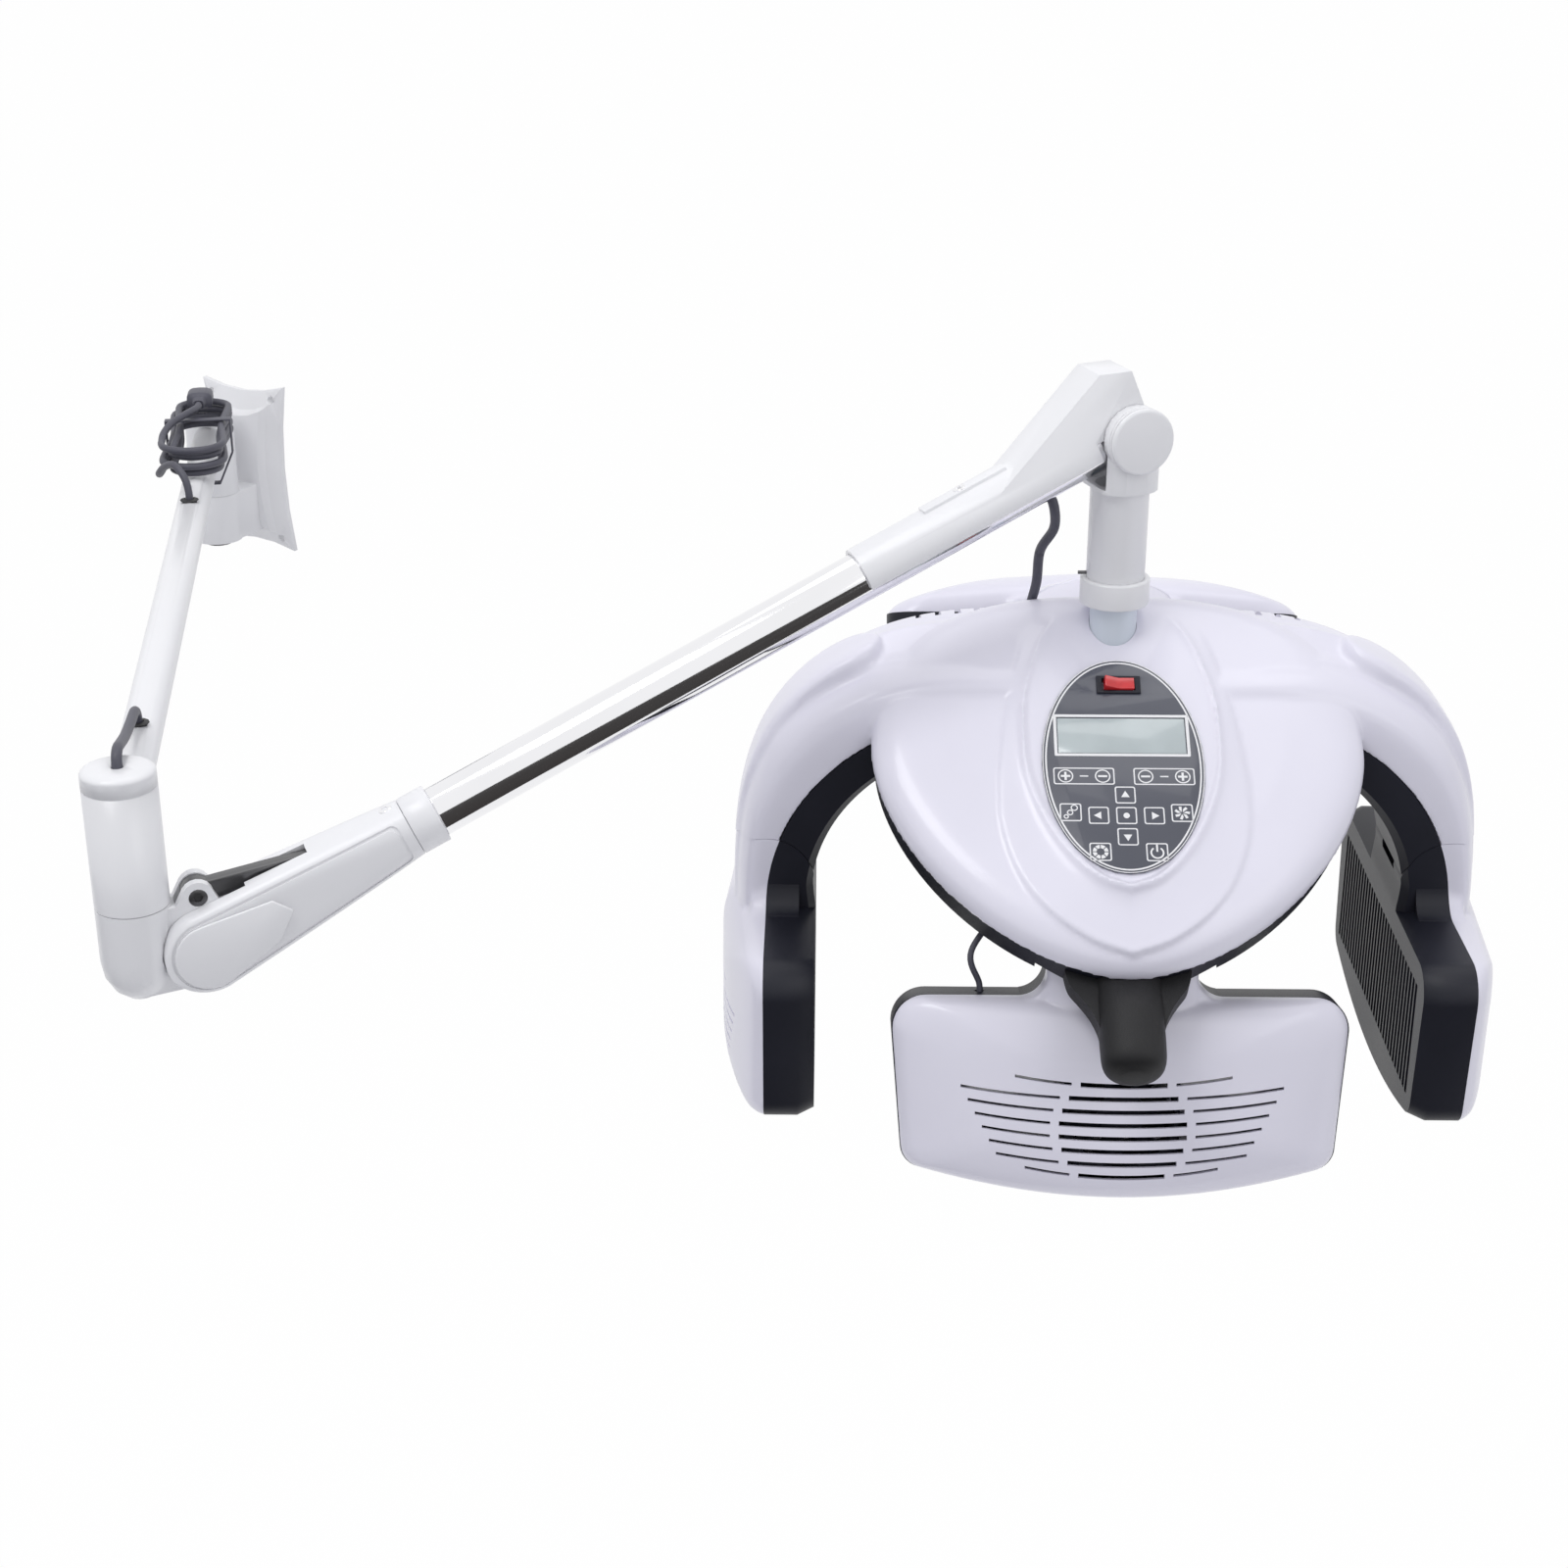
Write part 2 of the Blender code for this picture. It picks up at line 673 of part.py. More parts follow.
def mains_plug(plug_z):
    """Moulded plug on the cord's end, with two round pins, heading back to the wall."""
    start_x = HANK_X - 0.025
    stages = ((0.0, 0.42, 0.50), (0.010, 0.52, 0.62), (0.014, 1.0, 1.0), (PLUG_L - 0.002, 1.0, 1.0),
              (PLUG_L, 0.93, 0.90))
    sections = []
    for along, wide, high in stages:
        shape = superellipse(PLUG_W / 2 * wide, PLUG_H / 2 * high, 3.2, 16)
        sections.append([(start_x - along, y, plug_z + z) for y, z in shape])
    socket = placed(rod(CORD_R + GAP, start_x - 0.006, start_x + 0.01, 12), TO_X, shift(z=plug_z))
    body = cut(loft(sections), socket)
    tip = start_x - PLUG_L - PLUG_PIN_L
    pin = placed(rod(PLUG_PIN_R, tip, start_x - PLUG_L + 0.002, 12), TO_X)
    pins = [placed(pin, shift(y=y, z=plug_z)) for y in (-PLUG_PIN_PITCH / 2, PLUG_PIN_PITCH / 2)]
    return join(body, *pins)


def hank_tie():
    """Strap round the arm and the hank."""
    low = ARM1_Z - ARM1_R - 0.00075
    knee = ARM1_Z + ARM1_R
    high = knee + GAP + 2 * CORD_R + HANK_LAYER * (HANK_LAYERS - 1) + 0.0018
    narrow = ARM1_R + 0.00125
    wide = HANK_FOLD_R + HANK_STEP
    inner = [(-narrow, low), (narrow, low), (wide, knee), (wide, high), (-wide, high), (-wide, knee)]
    outer = []
    for y, z in inner:
        side = math.copysign(TIE_T, y)
        outer.append((y + side * (0.6 if z == low else 1.0), z + {low: -TIE_T, knee: -0.0004, high: TIE_T}[z]))
    return placed(plate(outer, HANK_X - TIE_W / 2, HANK_X + TIE_W / 2, [inner]), CYCLE)


def least_gap(path, radius):
    """Smallest clear distance between stretches of a cord that aren't neighbours."""
    best = 1.0
    skip = 4
    for a in range(len(path) - 1):
        for b in range(a + skip, len(path) - 1):
            for share in (0.0, 0.5):
                one = path[a].lerp(path[a + 1], share)
                two = path[b].lerp(path[b + 1], share)
                best = min(best, (one - two).length - 2 * radius)
    return best


# Elbow and balance rod

def across(mesh, x=0.0, z=0.0):
    """A piece made along Z, laid along Y at a place in XZ."""
    return placed(mesh, TO_Y, shift(x, 0, z))


def elbow_knuckle():
    """Round casting under the post with a forked tongue for the arm's pivot and the spring bolt."""
    top = POST_BOTTOM - RUN
    round_from = TILT_Z - 0.004
    dome = arc(0, round_from, POST_R, round_from - KNUCKLE_BOTTOM, 0, -90, 4)
    body = turned([(0, top), (POST_R, top), *dome], 20)
    half = TONGUE_T / 2
    scallop = across(rod(HOUSING_END_R + 2 * RUN, half, 0.1, 20), TILT_X, TILT_Z)
    body = cut(body, scallop, placed(scallop, MIRROR_Y))
    bolt_x = TILT_X - BOLT_BACK
    bolt_z = TILT_Z + BOLT_RISE
    side = [(0.0, KNUCKLE_BOTTOM + 0.004), *arc(TILT_X, TILT_Z, TONGUE_R, TONGUE_R, -80, 20, 8),
            *arc(bolt_x, bolt_z, BOLT_LUG_R, BOLT_LUG_R, 10, 150, 7), (POST_R + 0.002, top - 0.002),
            (0.0, top - 0.002)]
    tongue = placed(plate(side, -half, half), turn(math.radians(90), 'X'))
    slot_back = POST_R + 0.002
    slot_floor = TILT_Z + TILT_PIN_R + 0.003
    slot = [(slot_back, 0.05), (slot_back, slot_floor), (TILT_X + 0.004, slot_floor),
            (TILT_X + 0.034, slot_floor - 0.022), (TILT_X + 0.034, 0.05)]
    rod_half = ROD_T / 2 + RUN
    rod_slot = placed(plate(slot, -rod_half, rod_half), turn(math.radians(90), 'X'))
    pivot = across(rod(TILT_PIN_R + GAP, -1, 1, 20), TILT_X, TILT_Z)
    bolt = across(rod(BOLT_R + GAP, -1, 1, 16), bolt_x, bolt_z)
    spindle = rod(SPINDLE_R + GAP, TILT_Z - 0.006, 1, 20)
    return cut(join(body, tongue), rod_slot, pivot, bolt, spindle)


def elbow_spindle():
    """Hollow spindle from the casting up through the post's bushes."""
    low = TILT_Z - 0.006 + GAP
    high = POST_TOP - 0.009
    return ring(SPINDLE_R, SPINDLE_R - 0.004, low, high, 20)


def spring_bolt():
    """Bolt that the balance spring's link pulls on, flush with the tongue's sides."""
    half = TONGUE_T / 2 - GAP
    return across(rod(BOLT_R, -half, half, 20), TILT_X - BOLT_BACK, TILT_Z + BOLT_RISE)


def balance_rod():
    """Flat tapered link with an eye on the spring bolt, along +X."""
    eye = arc(0, 0, ROD_EYE_R, ROD_EYE_R, 40, 320, 10)
    tip = arc(ROD_LENGTH, 0, 0.0038, 0.0038, -90, 90, 6)
    bore = arc(0, 0, BOLT_R + GAP, BOLT_R + GAP, 0, 337.5, 15)
    outline = [*eye, *tip]
    return placed(plate(outline, -ROD_T / 2, ROD_T / 2, [bore]), turn(math.radians(90), 'X'))


# Second arm

def lower_arm_housing():
    """Tapered housing: round forked end at the pivot, round socket for the tube at the other."""
    rings = []
    for share in (-0.985, -0.9, -0.7, -0.4, 0.0):
        rings.append((share * HOUSING_END_R, HOUSING_END_R * math.sqrt(1 - share * share), 0.0))
    for share in (0.25, 0.5, 0.75, 0.9, 1.0):
        rings.append((share * HOUSING_LENGTH,
                      HOUSING_END_R + (HOUSING_TIP_R - HOUSING_END_R) * share, share))
    sections = []
    for x, half_h, share in rings:
        half_w = HOUSING_W / 2 + (HOUSING_TIP_R - HOUSING_W / 2) * share
        power = 7.0 - 4.6 * share
        sections.append([(x, y, z) for y, z in superellipse(half_w, half_h, power, 20)])
    body = loft(sections)
    bolt_reach = math.hypot(BOLT_BACK, BOLT_RISE) + BOLT_LUG_R + 0.002
    band = TONGUE_T / 2 + RUN
    fork = across(rod(bolt_reach, -band, band, 20))
    back = box((-0.1, 0), (-band, band), (-0.1, 0.1))
    slot_half = ROD_T / 2 + 0.002
    mouth = 0.030
    tunnel = loft([[(mouth, -slot_half, -0.010), (mouth, slot_half, -0.010), (mouth, slot_half, 0.036),
                    (mouth, -slot_half, 0.036)],
                   [(HOUSING_LENGTH, -slot_half, -0.013), (HOUSING_LENGTH, slot_half, -0.013),
                    (HOUSING_LENGTH, slot_half, 0.010), (HOUSING_LENGTH, -slot_half, 0.010)]])
    socket = placed(rod(TUBE_R + GAP, HOUSING_LENGTH - TUBE_SOCKET, 1, 20), TO_X)
    pivot = across(rod(TILT_PIN_R + GAP, -1, 1, 20))
    return cut(body, fork, back, tunnel, socket, pivot)


def side_cover():
    """Five-sided cover on the near side of the pivot."""
    outline = [*arc(0, 0, SIDE_COVER_R, SIDE_COVER_R, 80, 280, 12),
               (SIDE_COVER_LENGTH * 0.72, -SIDE_COVER_R * 0.60), (SIDE_COVER_LENGTH, SIDE_COVER_R * 0.05),
               (SIDE_COVER_LENGTH * 0.86, SIDE_COVER_R * 0.62)]
    low = HOUSING_W / 2 + GAP
    return placed(plate(outline, low, low + SIDE_COVER_T), turn(math.radians(90), 'X'))


def pivot_cover_pin():
    """Tilt pivot pin with the near cover as its head."""
    half = HOUSING_W / 2
    return join(side_cover(), across(rod(TILT_PIN_R, -half - GAP - SIDE_COVER_T / 2, half - GAP, 20)))


def chrome_tube():
    start_x = HOUSING_LENGTH - TUBE_SOCKET + GAP
    tube = placed(ring(TUBE_R, TUBE_R - TUBE_WALL, start_x, ARM2_LENGTH + ARM2_END, 20), TO_X)
    pivot = across(rod(HEAD_PIN_R + GAP, -1, 1, 20), ARM2_LENGTH)
    lead_x = ARM2_LENGTH - HEAD_LEAD_X / math.cos(ARM2_RISE)
    lead = placed(rod(LEAD_R + 2 * GAP, -1, 0, 16), shift(x=lead_x))
    return cut(tube, pivot, lead)


def upper_arm_cover():
    """Saddle over the tube's top half that grows into the wedge over the head pivot."""
    end = ARM2_LENGTH + ARM2_END
    saddle = placed(rod(TUBE_R + GAP + COVER_T, COVER_START, end, 20), TO_X)
    half = FORK_GAP / 2 - RUN
    side = [(WEDGE_START, COVER_SKIRT), (end, COVER_SKIRT), (end, WEDGE_SHOULDER), (WEDGE_APEX, WEDGE_TOP),
            (WEDGE_START, TUBE_R * 0.5)]
    wedge = placed(plate(side, -half, half), turn(math.radians(90), 'X'))
    strip = box((COVER_START + 0.058, WEDGE_START + 0.020), (-0.0055, 0.0055), (0, TUBE_R + COVER_T + 0.0018))
    bore = placed(rod(TUBE_R + GAP, 0, 1, 20), TO_X)
    below = box((0, 1), (-1, 1), (-1, COVER_SKIRT))
    fork_x = ARM2_LENGTH - EAR_R - 0.004
    cheeks = [box((fork_x, 1), (half, 1), (-1, 1)), box((fork_x, 1), (-1, -half), (-1, 1)),
              box((fork_x, 1), (-1, 1), (-1, HEAD_PIN_R + 0.0015))]
    return cut(join(saddle, wedge, strip), bore, below, *cheeks)


def spring_barrel():
    """Sealed spring cartridge inside the tube, with the hook that the link pulls."""
    radius = TUBE_R - TUBE_WALL - GAP
    end = SPRING_START + SPRING_LENGTH
    body = turned([(0, end), (radius * 0.7, end), (radius, end - 0.006), (radius, SPRING_START + 0.006),
                   (radius * 0.7, SPRING_START), (0.004, SPRING_START), (0.004, SPRING_START - 0.014),
                   (0, SPRING_START - 0.014)], 20)
    return placed(body, TO_X)


# Stem

def stem_fork():
    """Tube with two round ears at its top, notched for the arm's end."""
    low = COLLAR2_LOW + 0.010 - PIVOT_HEIGHT
    inner = FORK_GAP / 2
    ears = across(rod(EAR_R, -inner - EAR_T, inner + EAR_T, 20))
    cheeks = box((-STEM_R, STEM_R), (-inner - EAR_T, inner + EAR_T), (-STEM_R * 1.9, 0))
    tube = rod(STEM_R, low, -0.010, 20)
    round_cheeks = keep(cheeks, rod(math.hypot(inner, STEM_R) * 0.985, -1, 1, 20))
    body = join(tube, round_cheeks, ears)
    turn_r = math.hypot(ARM2_END, TUBE_R) + 0.0015
    arm_way = across(rod(turn_r, -inner, inner, 20))
    notch = box((-0.1, 0), (-inner, inner), (-0.037, 0.1))
    over = box((-0.1, 0.1), (-inner, inner), (-0.006, 0.1))
    bore = rod(STEM_R - STEM_WALL, -1, 0, 20)
    pivot = across(rod(HEAD_PIN_R + GAP, -1, 1, 20))
    return cut(body, arm_way, notch, over, bore, pivot)


def pivot_cap():
    """Round cap on the outer face of the far ear."""
    low = FORK_GAP / 2 + EAR_T + GAP
    high = low + PIVOT_CAP_T
    return across(turned([(0, high), (EAR_R * 0.93, high), (EAR_R, high - 0.0015), (EAR_R, low), (0, low)], 20))


def pivot_cap_pin():
    """Head pivot pin with the near cap as its head."""
    low = FORK_GAP / 2 + EAR_T
    pin = across(rod(HEAD_PIN_R, -low - PIVOT_CAP_T / 2, low, 20))
    return join(placed(pivot_cap(), MIRROR_Y), pin)


def stem_collar():
    low = COLLAR2_LOW - PIVOT_HEIGHT
    high = COLLAR2_HIGH - PIVOT_HEIGHT
    step = low + 0.010 - GAP
    return turned([(COLLAR2_R - 0.001, high), (COLLAR2_R, high - 0.001), (COLLAR2_R, low + 0.001),
                   (COLLAR2_R - 0.001, low), (INNER_STEM_R + RUN, low), (INNER_STEM_R + RUN, step),
                   (STEM_R + GAP, step), (STEM_R + GAP, high)], 20, hollow=True)


def inner_stem():
    return ring(INNER_STEM_R, INNER_STEM_BORE, INNER_STEM_FOOT, INNER_STEM_TOP, 20)


# Hood: the sloping shield is made level, then laid on its slope

ON_SLOPE = shift(0, DOME_Y, DOME_Z) @ turn(DOME_SLOPE, 'X')


def dome_outline(grow, count=30):
    """Shield outline: round tip, squarer rear edge."""
    points = []
    for k in range(count):
        a = 2 * math.pi * k / count
        c, s = math.cos(a), math.sin(a)
        reach, power = (DOME_BACK, 2.6) if s > 0 else (DOME_TIP, 1.7)
        points.append(((DOME_HALF_W + grow) * math.copysign(abs(c) ** (2 / power), c),
                       DOME_MID + (reach + grow) * math.copysign(abs(s) ** (2 / power), s)))
    return points


DOME_RINGS = ((1.0, -0.030), (0.99, -0.0205), (0.95, -0.0125), (0.86, -0.0070), (0.66, -0.005))


def dome_solid(grow, base, count=30):
    """The shield's outer form, or its hollow when grow is negative."""
    outline = dome_outline(grow, count)
    rings = [[(x, y, base) for x, y in outline]]
    for share, height in DOME_RINGS:
        rings.append([(x * share, DOME_MID + (y - DOME_MID) * share, height + grow) for x, y in outline])
    if base == rings[1][0][2]:
        rings.pop(0)
    return loft(rings)


def leaf_outline(grow, steps=9):
    """Leaf outline: open at the top, widest beside the panel, pointed at the tip."""
    right = []
    for k in range(steps + 1):
        t = k / steps
        v = LEAF_TOP + (LEAF_TIP - LEAF_TOP) * t
        bulge = math.sin(math.pi * min(1.0, 0.20 + 0.80 * t ** 0.95)) ** 0.78
        right.append(((LEAF_W + grow) * bulge, v))
    right[-1] = (0.0, LEAF_TIP - grow)
    left = [(-x, v) for x, v in reversed(right[:-1])]
    return [*right, *left]


def leaf_solid():
    """Raised leaf with a soft shoulder and a flat middle for the control panel."""
    outline = leaf_outline(0.0)
    stages = ((1.0, -0.012), (0.985, -0.004), (0.94, -0.0005), (0.86, 0.0008), (0.80, 0.0), (0.40, 0.0))
    rings = [[(x * share, v * share, height - LEAF_FALL * max(0.0, v * share - LEAF_FLAT) ** 2)
              for x, v in outline] for share, height in stages]
    return loft(rings)


def limb_shape(fronts):
    """Half sections of a limb, (half width, share of its height), from the edge to the middle."""
    half = NECK_W / 2
    low, shoulder, crest = fronts
    return ((half, 0.0), (half, low), (half * 0.93, low + (shoulder - low) * 0.56), (half * 0.72, shoulder),
            (BAND_HALF + 0.006, shoulder + (crest - shoulder) * 0.45), (BAND_HALF, crest - 0.03),
            (BAND_HALF * 0.5, crest))


def limb_section(x_part, z_part, x_out, z_out, middle=0.0):
    """White limb's section across Y: square at the back and low in front near the hood's middle."""
    pairs = []
    for side, far in ((1, LIMB_FULL), (-1, LIMB_LOW)):
        fronts = [plain + (other - plain) * middle for plain, other in zip(LIMB_PLAIN, far)]
        shape = [(side * y, share) for y, share in limb_shape(fronts)]
        pairs += shape if side > 0 else shape[::-1]
    return [(x_part + (x_out - x_part) * share, y, z_part + (z_out - z_part) * share) for y, share in pairs]


def spine_point(angle):
    c, s = math.cos(angle), math.sin(angle)
    return (LIMB_CENTRE_X + SPINE_RX * max(s, 0.0) ** (2 / SPINE_POWER),
            LIMB_CENTRE_Z + SPINE_RZ * max(c, 0.0) ** (2 / SPINE_POWER))


def part_point(angle, inward=0.0):
    return (LIMB_CENTRE_X + (PART_RX - inward) * math.sin(angle),
            LIMB_CENTRE_Z + (PART_RZ - inward) * math.cos(angle))


LIMB_ANGLES = [math.radians(a) for a in (0, 15, 30, 44, 57, 68, 79, 90)]


def side_limb_shell():
    """White half of a side limb, along +X from the middle and down to below the hinge seam."""
    x_out, z_out = spine_point(0.0)
    x_part, z_part = part_point(0.0)
    sections = [limb_section(-LIMB_LAP, z_part + GAP, -LIMB_LAP, z_out, 1.0)]
    for angle in LIMB_ANGLES:
        x_part, z_part = part_point(angle, -GAP)
        x_out, z_out = spine_point(angle)
        sections.append(limb_section(x_part, z_part, x_out, z_out, max(0.0, 1 - angle / LIMB_BLEND)))
    return loft(sections)


SPINE_BAND = ((20, 0.15), (21.5, 0.55), (24, 0.80), (28, 0.96), (33, 1.0), (44, 1.0), (57, 0.96), (68, 0.86),
              (79, 0.72), (90, 0.60))    # degrees along the limb and share of the band's width


def spine_band():
    """Low band raised along a side limb's crest, round at its start."""
    sections = []
    for degrees, wide in SPINE_BAND:
        angle = math.radians(degrees)
        foot = Vector(part_point(angle))
        crest = Vector(spine_point(angle))
        up = (crest - foot).normalized()
        rise = SPINE_BAND_H * min(1.0, (90 - degrees) / 30)
        half = SPINE_BAND_HALF * wide
        shape = ((half, -0.012), (half, -0.001), (half * 0.86, rise * 0.7), (half * 0.5, rise))
        pairs = [*shape, *[(-y, high) for y, high in reversed(shape)]]
        sections.append([(crest.x + up.x * high, y, crest.y + up.y * high) for y, high in pairs])
    return loft(sections)


def side_limb_liner():
    """Black half of a side limb under the white one."""
    half = NECK_W / 2
    places = [(-LIMB_LAP, LIMB_CENTRE_Z + PART_RZ, -LIMB_LAP, LIMB_CENTRE_Z + PART_RZ - LINER_T)]
    for angle in LIMB_ANGLES:
        thick = LINER_T + (LINER_END_T - LINER_T) * angle / LIMB_ANGLES[-1]
        places.append((*part_point(angle), *part_point(angle, thick)))
    sections = []
    for x_part, z_part, x_in, z_in in places:
        pairs = ((half, 0.0), (half, 0.82), (half - 0.006, 1.0), (0.006 - half, 1.0), (-half, 0.82), (-half, 0.0))
        sections.append([(x_part + (x_in - x_part) * share, y, z_part + (z_in - z_part) * share)
                         for y, share in pairs])
    return loft(sections)


# Wings: modelled about the hinge axis, X along it, -Y outward, +Z up

def wing_place(u, out, down):
    return (u, -out, -down)


def neck_part(down):
    """Parting edge of the neck, out from the hinge axis, at a height below it."""
    rise = max(0.0, HINGE_Z - down - LIMB_CENTRE_Z)
    return LIMB_CENTRE_X + PART_RX * math.sqrt(1 - (rise / PART_RZ) ** 2) - HINGE_X


def neck_outer(down):
    """Outer face of the neck: the limb's spine, then a slow rise to the paddle's crown."""
    rise = max(0.0, HINGE_Z - down - LIMB_CENTRE_Z)
    spine = LIMB_CENTRE_X + SPINE_RX * (1 - (rise / SPINE_RZ) ** SPINE_POWER) ** (1 / SPINE_POWER) - HINGE_X
    grow = min(1.0, max(0.0, (down - PADDLE_TOP) / (PADDLE_MID - PADDLE_TOP)))
    return spine + (PADDLE_CROWN - 0.0015 - spine) * grow * grow * (3 - 2 * grow)


def paddle_outline(inset=0.0, corner_steps=3):
    """Paddle face: flat shoulders, round corners, tapered sides, convex bottom."""
    half = PADDLE_W / 2 - inset
    low_half = half - PADDLE_TAPER
    top = PADDLE_TOP + inset
    side = PADDLE_SIDE - inset * 0.5
    bottom = PADDLE_BOTTOM - inset
    right = arc(half - PADDLE_CORNER, top + PADDLE_CORNER, PADDLE_CORNER, PADDLE_CORNER, -90, 0, corner_steps)
    right += arc(low_half - PADDLE_CORNER * 0.7, side, PADDLE_CORNER * 0.7, PADDLE_CORNER * 0.72, 0, 70, 2)
    last_u, last_down = right[-1]
    for share in (0.66, 0.33):
        right.append((last_u * share, bottom - (bottom - last_down) * share * share))
    return [*right, (0.0, bottom), *[(-u, down) for u, down in reversed(right)], (0.0, top)]


SHELL_RINGS = ((1.0, 0.0), (1.0, 0.16), (0.98, 0.42), (0.93, 0.68), (0.80, 0.88), (0.55, 1.0), (0.10, 1.0))


def shell_lid(inset, base, crown, rows):
    outline = paddle_outline(inset)
    rings = []
    for share, height in rows:
        ring_points = []
        for u, down in outline:
            arch = PADDLE_ARCH * (2 * u * share / PADDLE_W) ** 2
            ring_points.append(wing_place(u * share, base + (crown - arch - base) * height,
                                          PADDLE_MID + (down - PADDLE_MID) * share))
        rings.append(ring_points)
    return loft(rings)


NECK_STATIONS = (-0.038, -0.020, -0.002, 0.015, 0.033)


def shoulder_fillets(low, high, drawn=1.0):
    """Hollow-cornered webs between the neck's sides and the paddle's shoulders, from low to high outward."""
    start_u = NECK_W / 2 - FILLET_LAP
    rings = []
    for out, reach in ((low, PADDLE_FILLET), (high, PADDLE_FILLET * drawn)):
        middle_u = NECK_W / 2 + reach
        top = PADDLE_TOP - reach
        outline = [(start_u, PADDLE_TOP + FILLET_LAP), (start_u, top), *arc(middle_u, top, reach, reach, 172, 98, 5),
                   (middle_u, PADDLE_TOP + FILLET_LAP)]
        rings.append([wing_place(u, out, down) for u, down in outline])
    web = loft(rings)
    return group(web, placed(web, MIRROR_X))


def neck_shell():
    sections = []
    shape = limb_shape(LIMB_PLAIN)
    pairs = [*shape, *[(-u, share) for u, share in reversed(shape)]]
    for down in (*NECK_STATIONS, 0.052, 0.078):
        low = neck_part(down) + GAP
        high = neck_outer(down)
        sections.append([wing_place(u, low + (high - low) * share, down) for u, share in pairs])
    return loft(sections)


def neck_liner():
    half = NECK_W / 2
    sections = []
    for down in (*NECK_STATIONS[:-1], 0.0295):
        high = neck_part(down)
        low = high - LINER_END_T - (TRAY_DEPTH - LINER_END_T) * min(1.0, max(0.0, down / PADDLE_TOP))
        sections.append([wing_place(u, out, down) for u, out in (
            (half, high), (half, low + 0.005), (half - 0.006, low), (0.006 - half, low), (-half, low + 0.005),
            (-half, high))])
    return loft(sections)


def hinge_keep(front):
    """Space that a wing may fill: the round of its turning seam and everything below the axis."""
    radius = FRONT_HINGE_R if front else HINGE_R
    round_top = placed(rod(radius, -1, 1, 24), TO_X)
    return join(round_top, box((-1, 1), (-1, 1), (-1, 0)))


def hinge_room(front):
    """Space that the hood keeps clear for a wing's neck, round the axis and, on the limbs, below it."""
    half = NECK_W / 2 + 0.01
    if front:
        return placed(rod(FRONT_HINGE_R + RUN, -half, half, 24), TO_X)
    round_top = placed(rod(HINGE_R + RUN, -half, half, 24), TO_X)
    return join(round_top, box((-half, half), (-0.08, 0.08), (-0.1, 0)))


def hinge_slot(front):
    """Slot in the neck for the hood's hinge tongue."""
    half = TONGUE2_W / 2 + RUN
    eye = placed(rod(TONGUE2_R + 0.002, -half, half, 16), TO_X)
    outward = 0.06 if front else 0.008
    return join(eye, box((-half, half), (-outward, 0.06), (0, 0.06)))


def stub_bore():
    half = NECK_W / 2 - STUB_INSET + GAP
    return placed(rod(STUB_R + GAP, -half, half, 12), TO_X)


def hinge_tongue():
    """Tongue of the hood's liner with the hinge's stub axles."""
    side = [(-0.030, 0.034), (-0.0195, 0.034), (-0.004, 0.012), (-0.004, 0.0), (-0.012, 0.005), (-0.030, 0.0135)]
    half = TONGUE2_W / 2
    web = placed(plate([(-out, up) for out, up in side], -half, half), CYCLE)
    return join(hinge_eye(), web)


def hinge_eye():
    """Round end of a tongue with a stub axle on each side, which the neck's two halves clamp."""
    half = NECK_W / 2 - STUB_INSET
    eye = placed(rod(TONGUE2_R, -TONGUE2_W / 2, TONGUE2_W / 2, 16), TO_X)
    return join(eye, placed(rod(STUB_R, -half, half, 12), TO_X))


def vent_slots():
    """Rows of slots in the front shell: long ones over the fan, thinner ones beside it."""
    slots = []
    for row, far in enumerate(SLOT_REACH):
        offset = (row - (len(SLOT_REACH) - 1) / 2) * SLOT_PITCH
        down = SLOT_MID + offset
        half = math.sqrt(SLOT_ROUND_R ** 2 - offset ** 2)
        near = half + SLOT_GAP
        for low, high, tall in ((-half, half, SLOT_H), (near, far, SIDE_SLOT_H), (-far, -near, SIDE_SLOT_H)):
            slots.append(box((low, high), (-0.08, -0.008), (-down - tall / 2, -down + tall / 2)))
    return group(*slots)


def wing_shell(front=False):
    """White outer shell of a wing: crowned paddle, neck and turning seam, hollow behind."""
    lid = shell_lid(0.0, GAP, PADDLE_CROWN, SHELL_RINGS)
    body = join(lid, neck_shell(), shoulder_fillets(2 * GAP, FILLET_H, FILLET_DRAWN))
    hollow = shell_lid(SHELL_WALL, -0.01, PADDLE_CROWN - SHELL_WALL, SHELL_RINGS)
    shell = cut(keep(body, hinge_keep(front)), hollow, hinge_slot(front), stub_bore())
    if not front:
        return shell
    reach = FAN_SIZE / 2 - FAN_POST_R
    post = placed(rod(FAN_POST_R, FAN_FACE + GAP, 2 * PADDLE_CROWN, 12), turn(math.radians(90), 'X'),
                  shift(z=-FAN_MID))
    posts = group(*[placed(post, shift(x, 0, z)) for x in (-reach, reach) for z in (-reach, reach)])
    mid_wall = shell_lid(SHELL_WALL / 2, 0.0, PADDLE_CROWN - SHELL_WALL / 2, SHELL_RINGS)
    return cut(join(shell, keep(posts, mid_wall)), vent_slots())


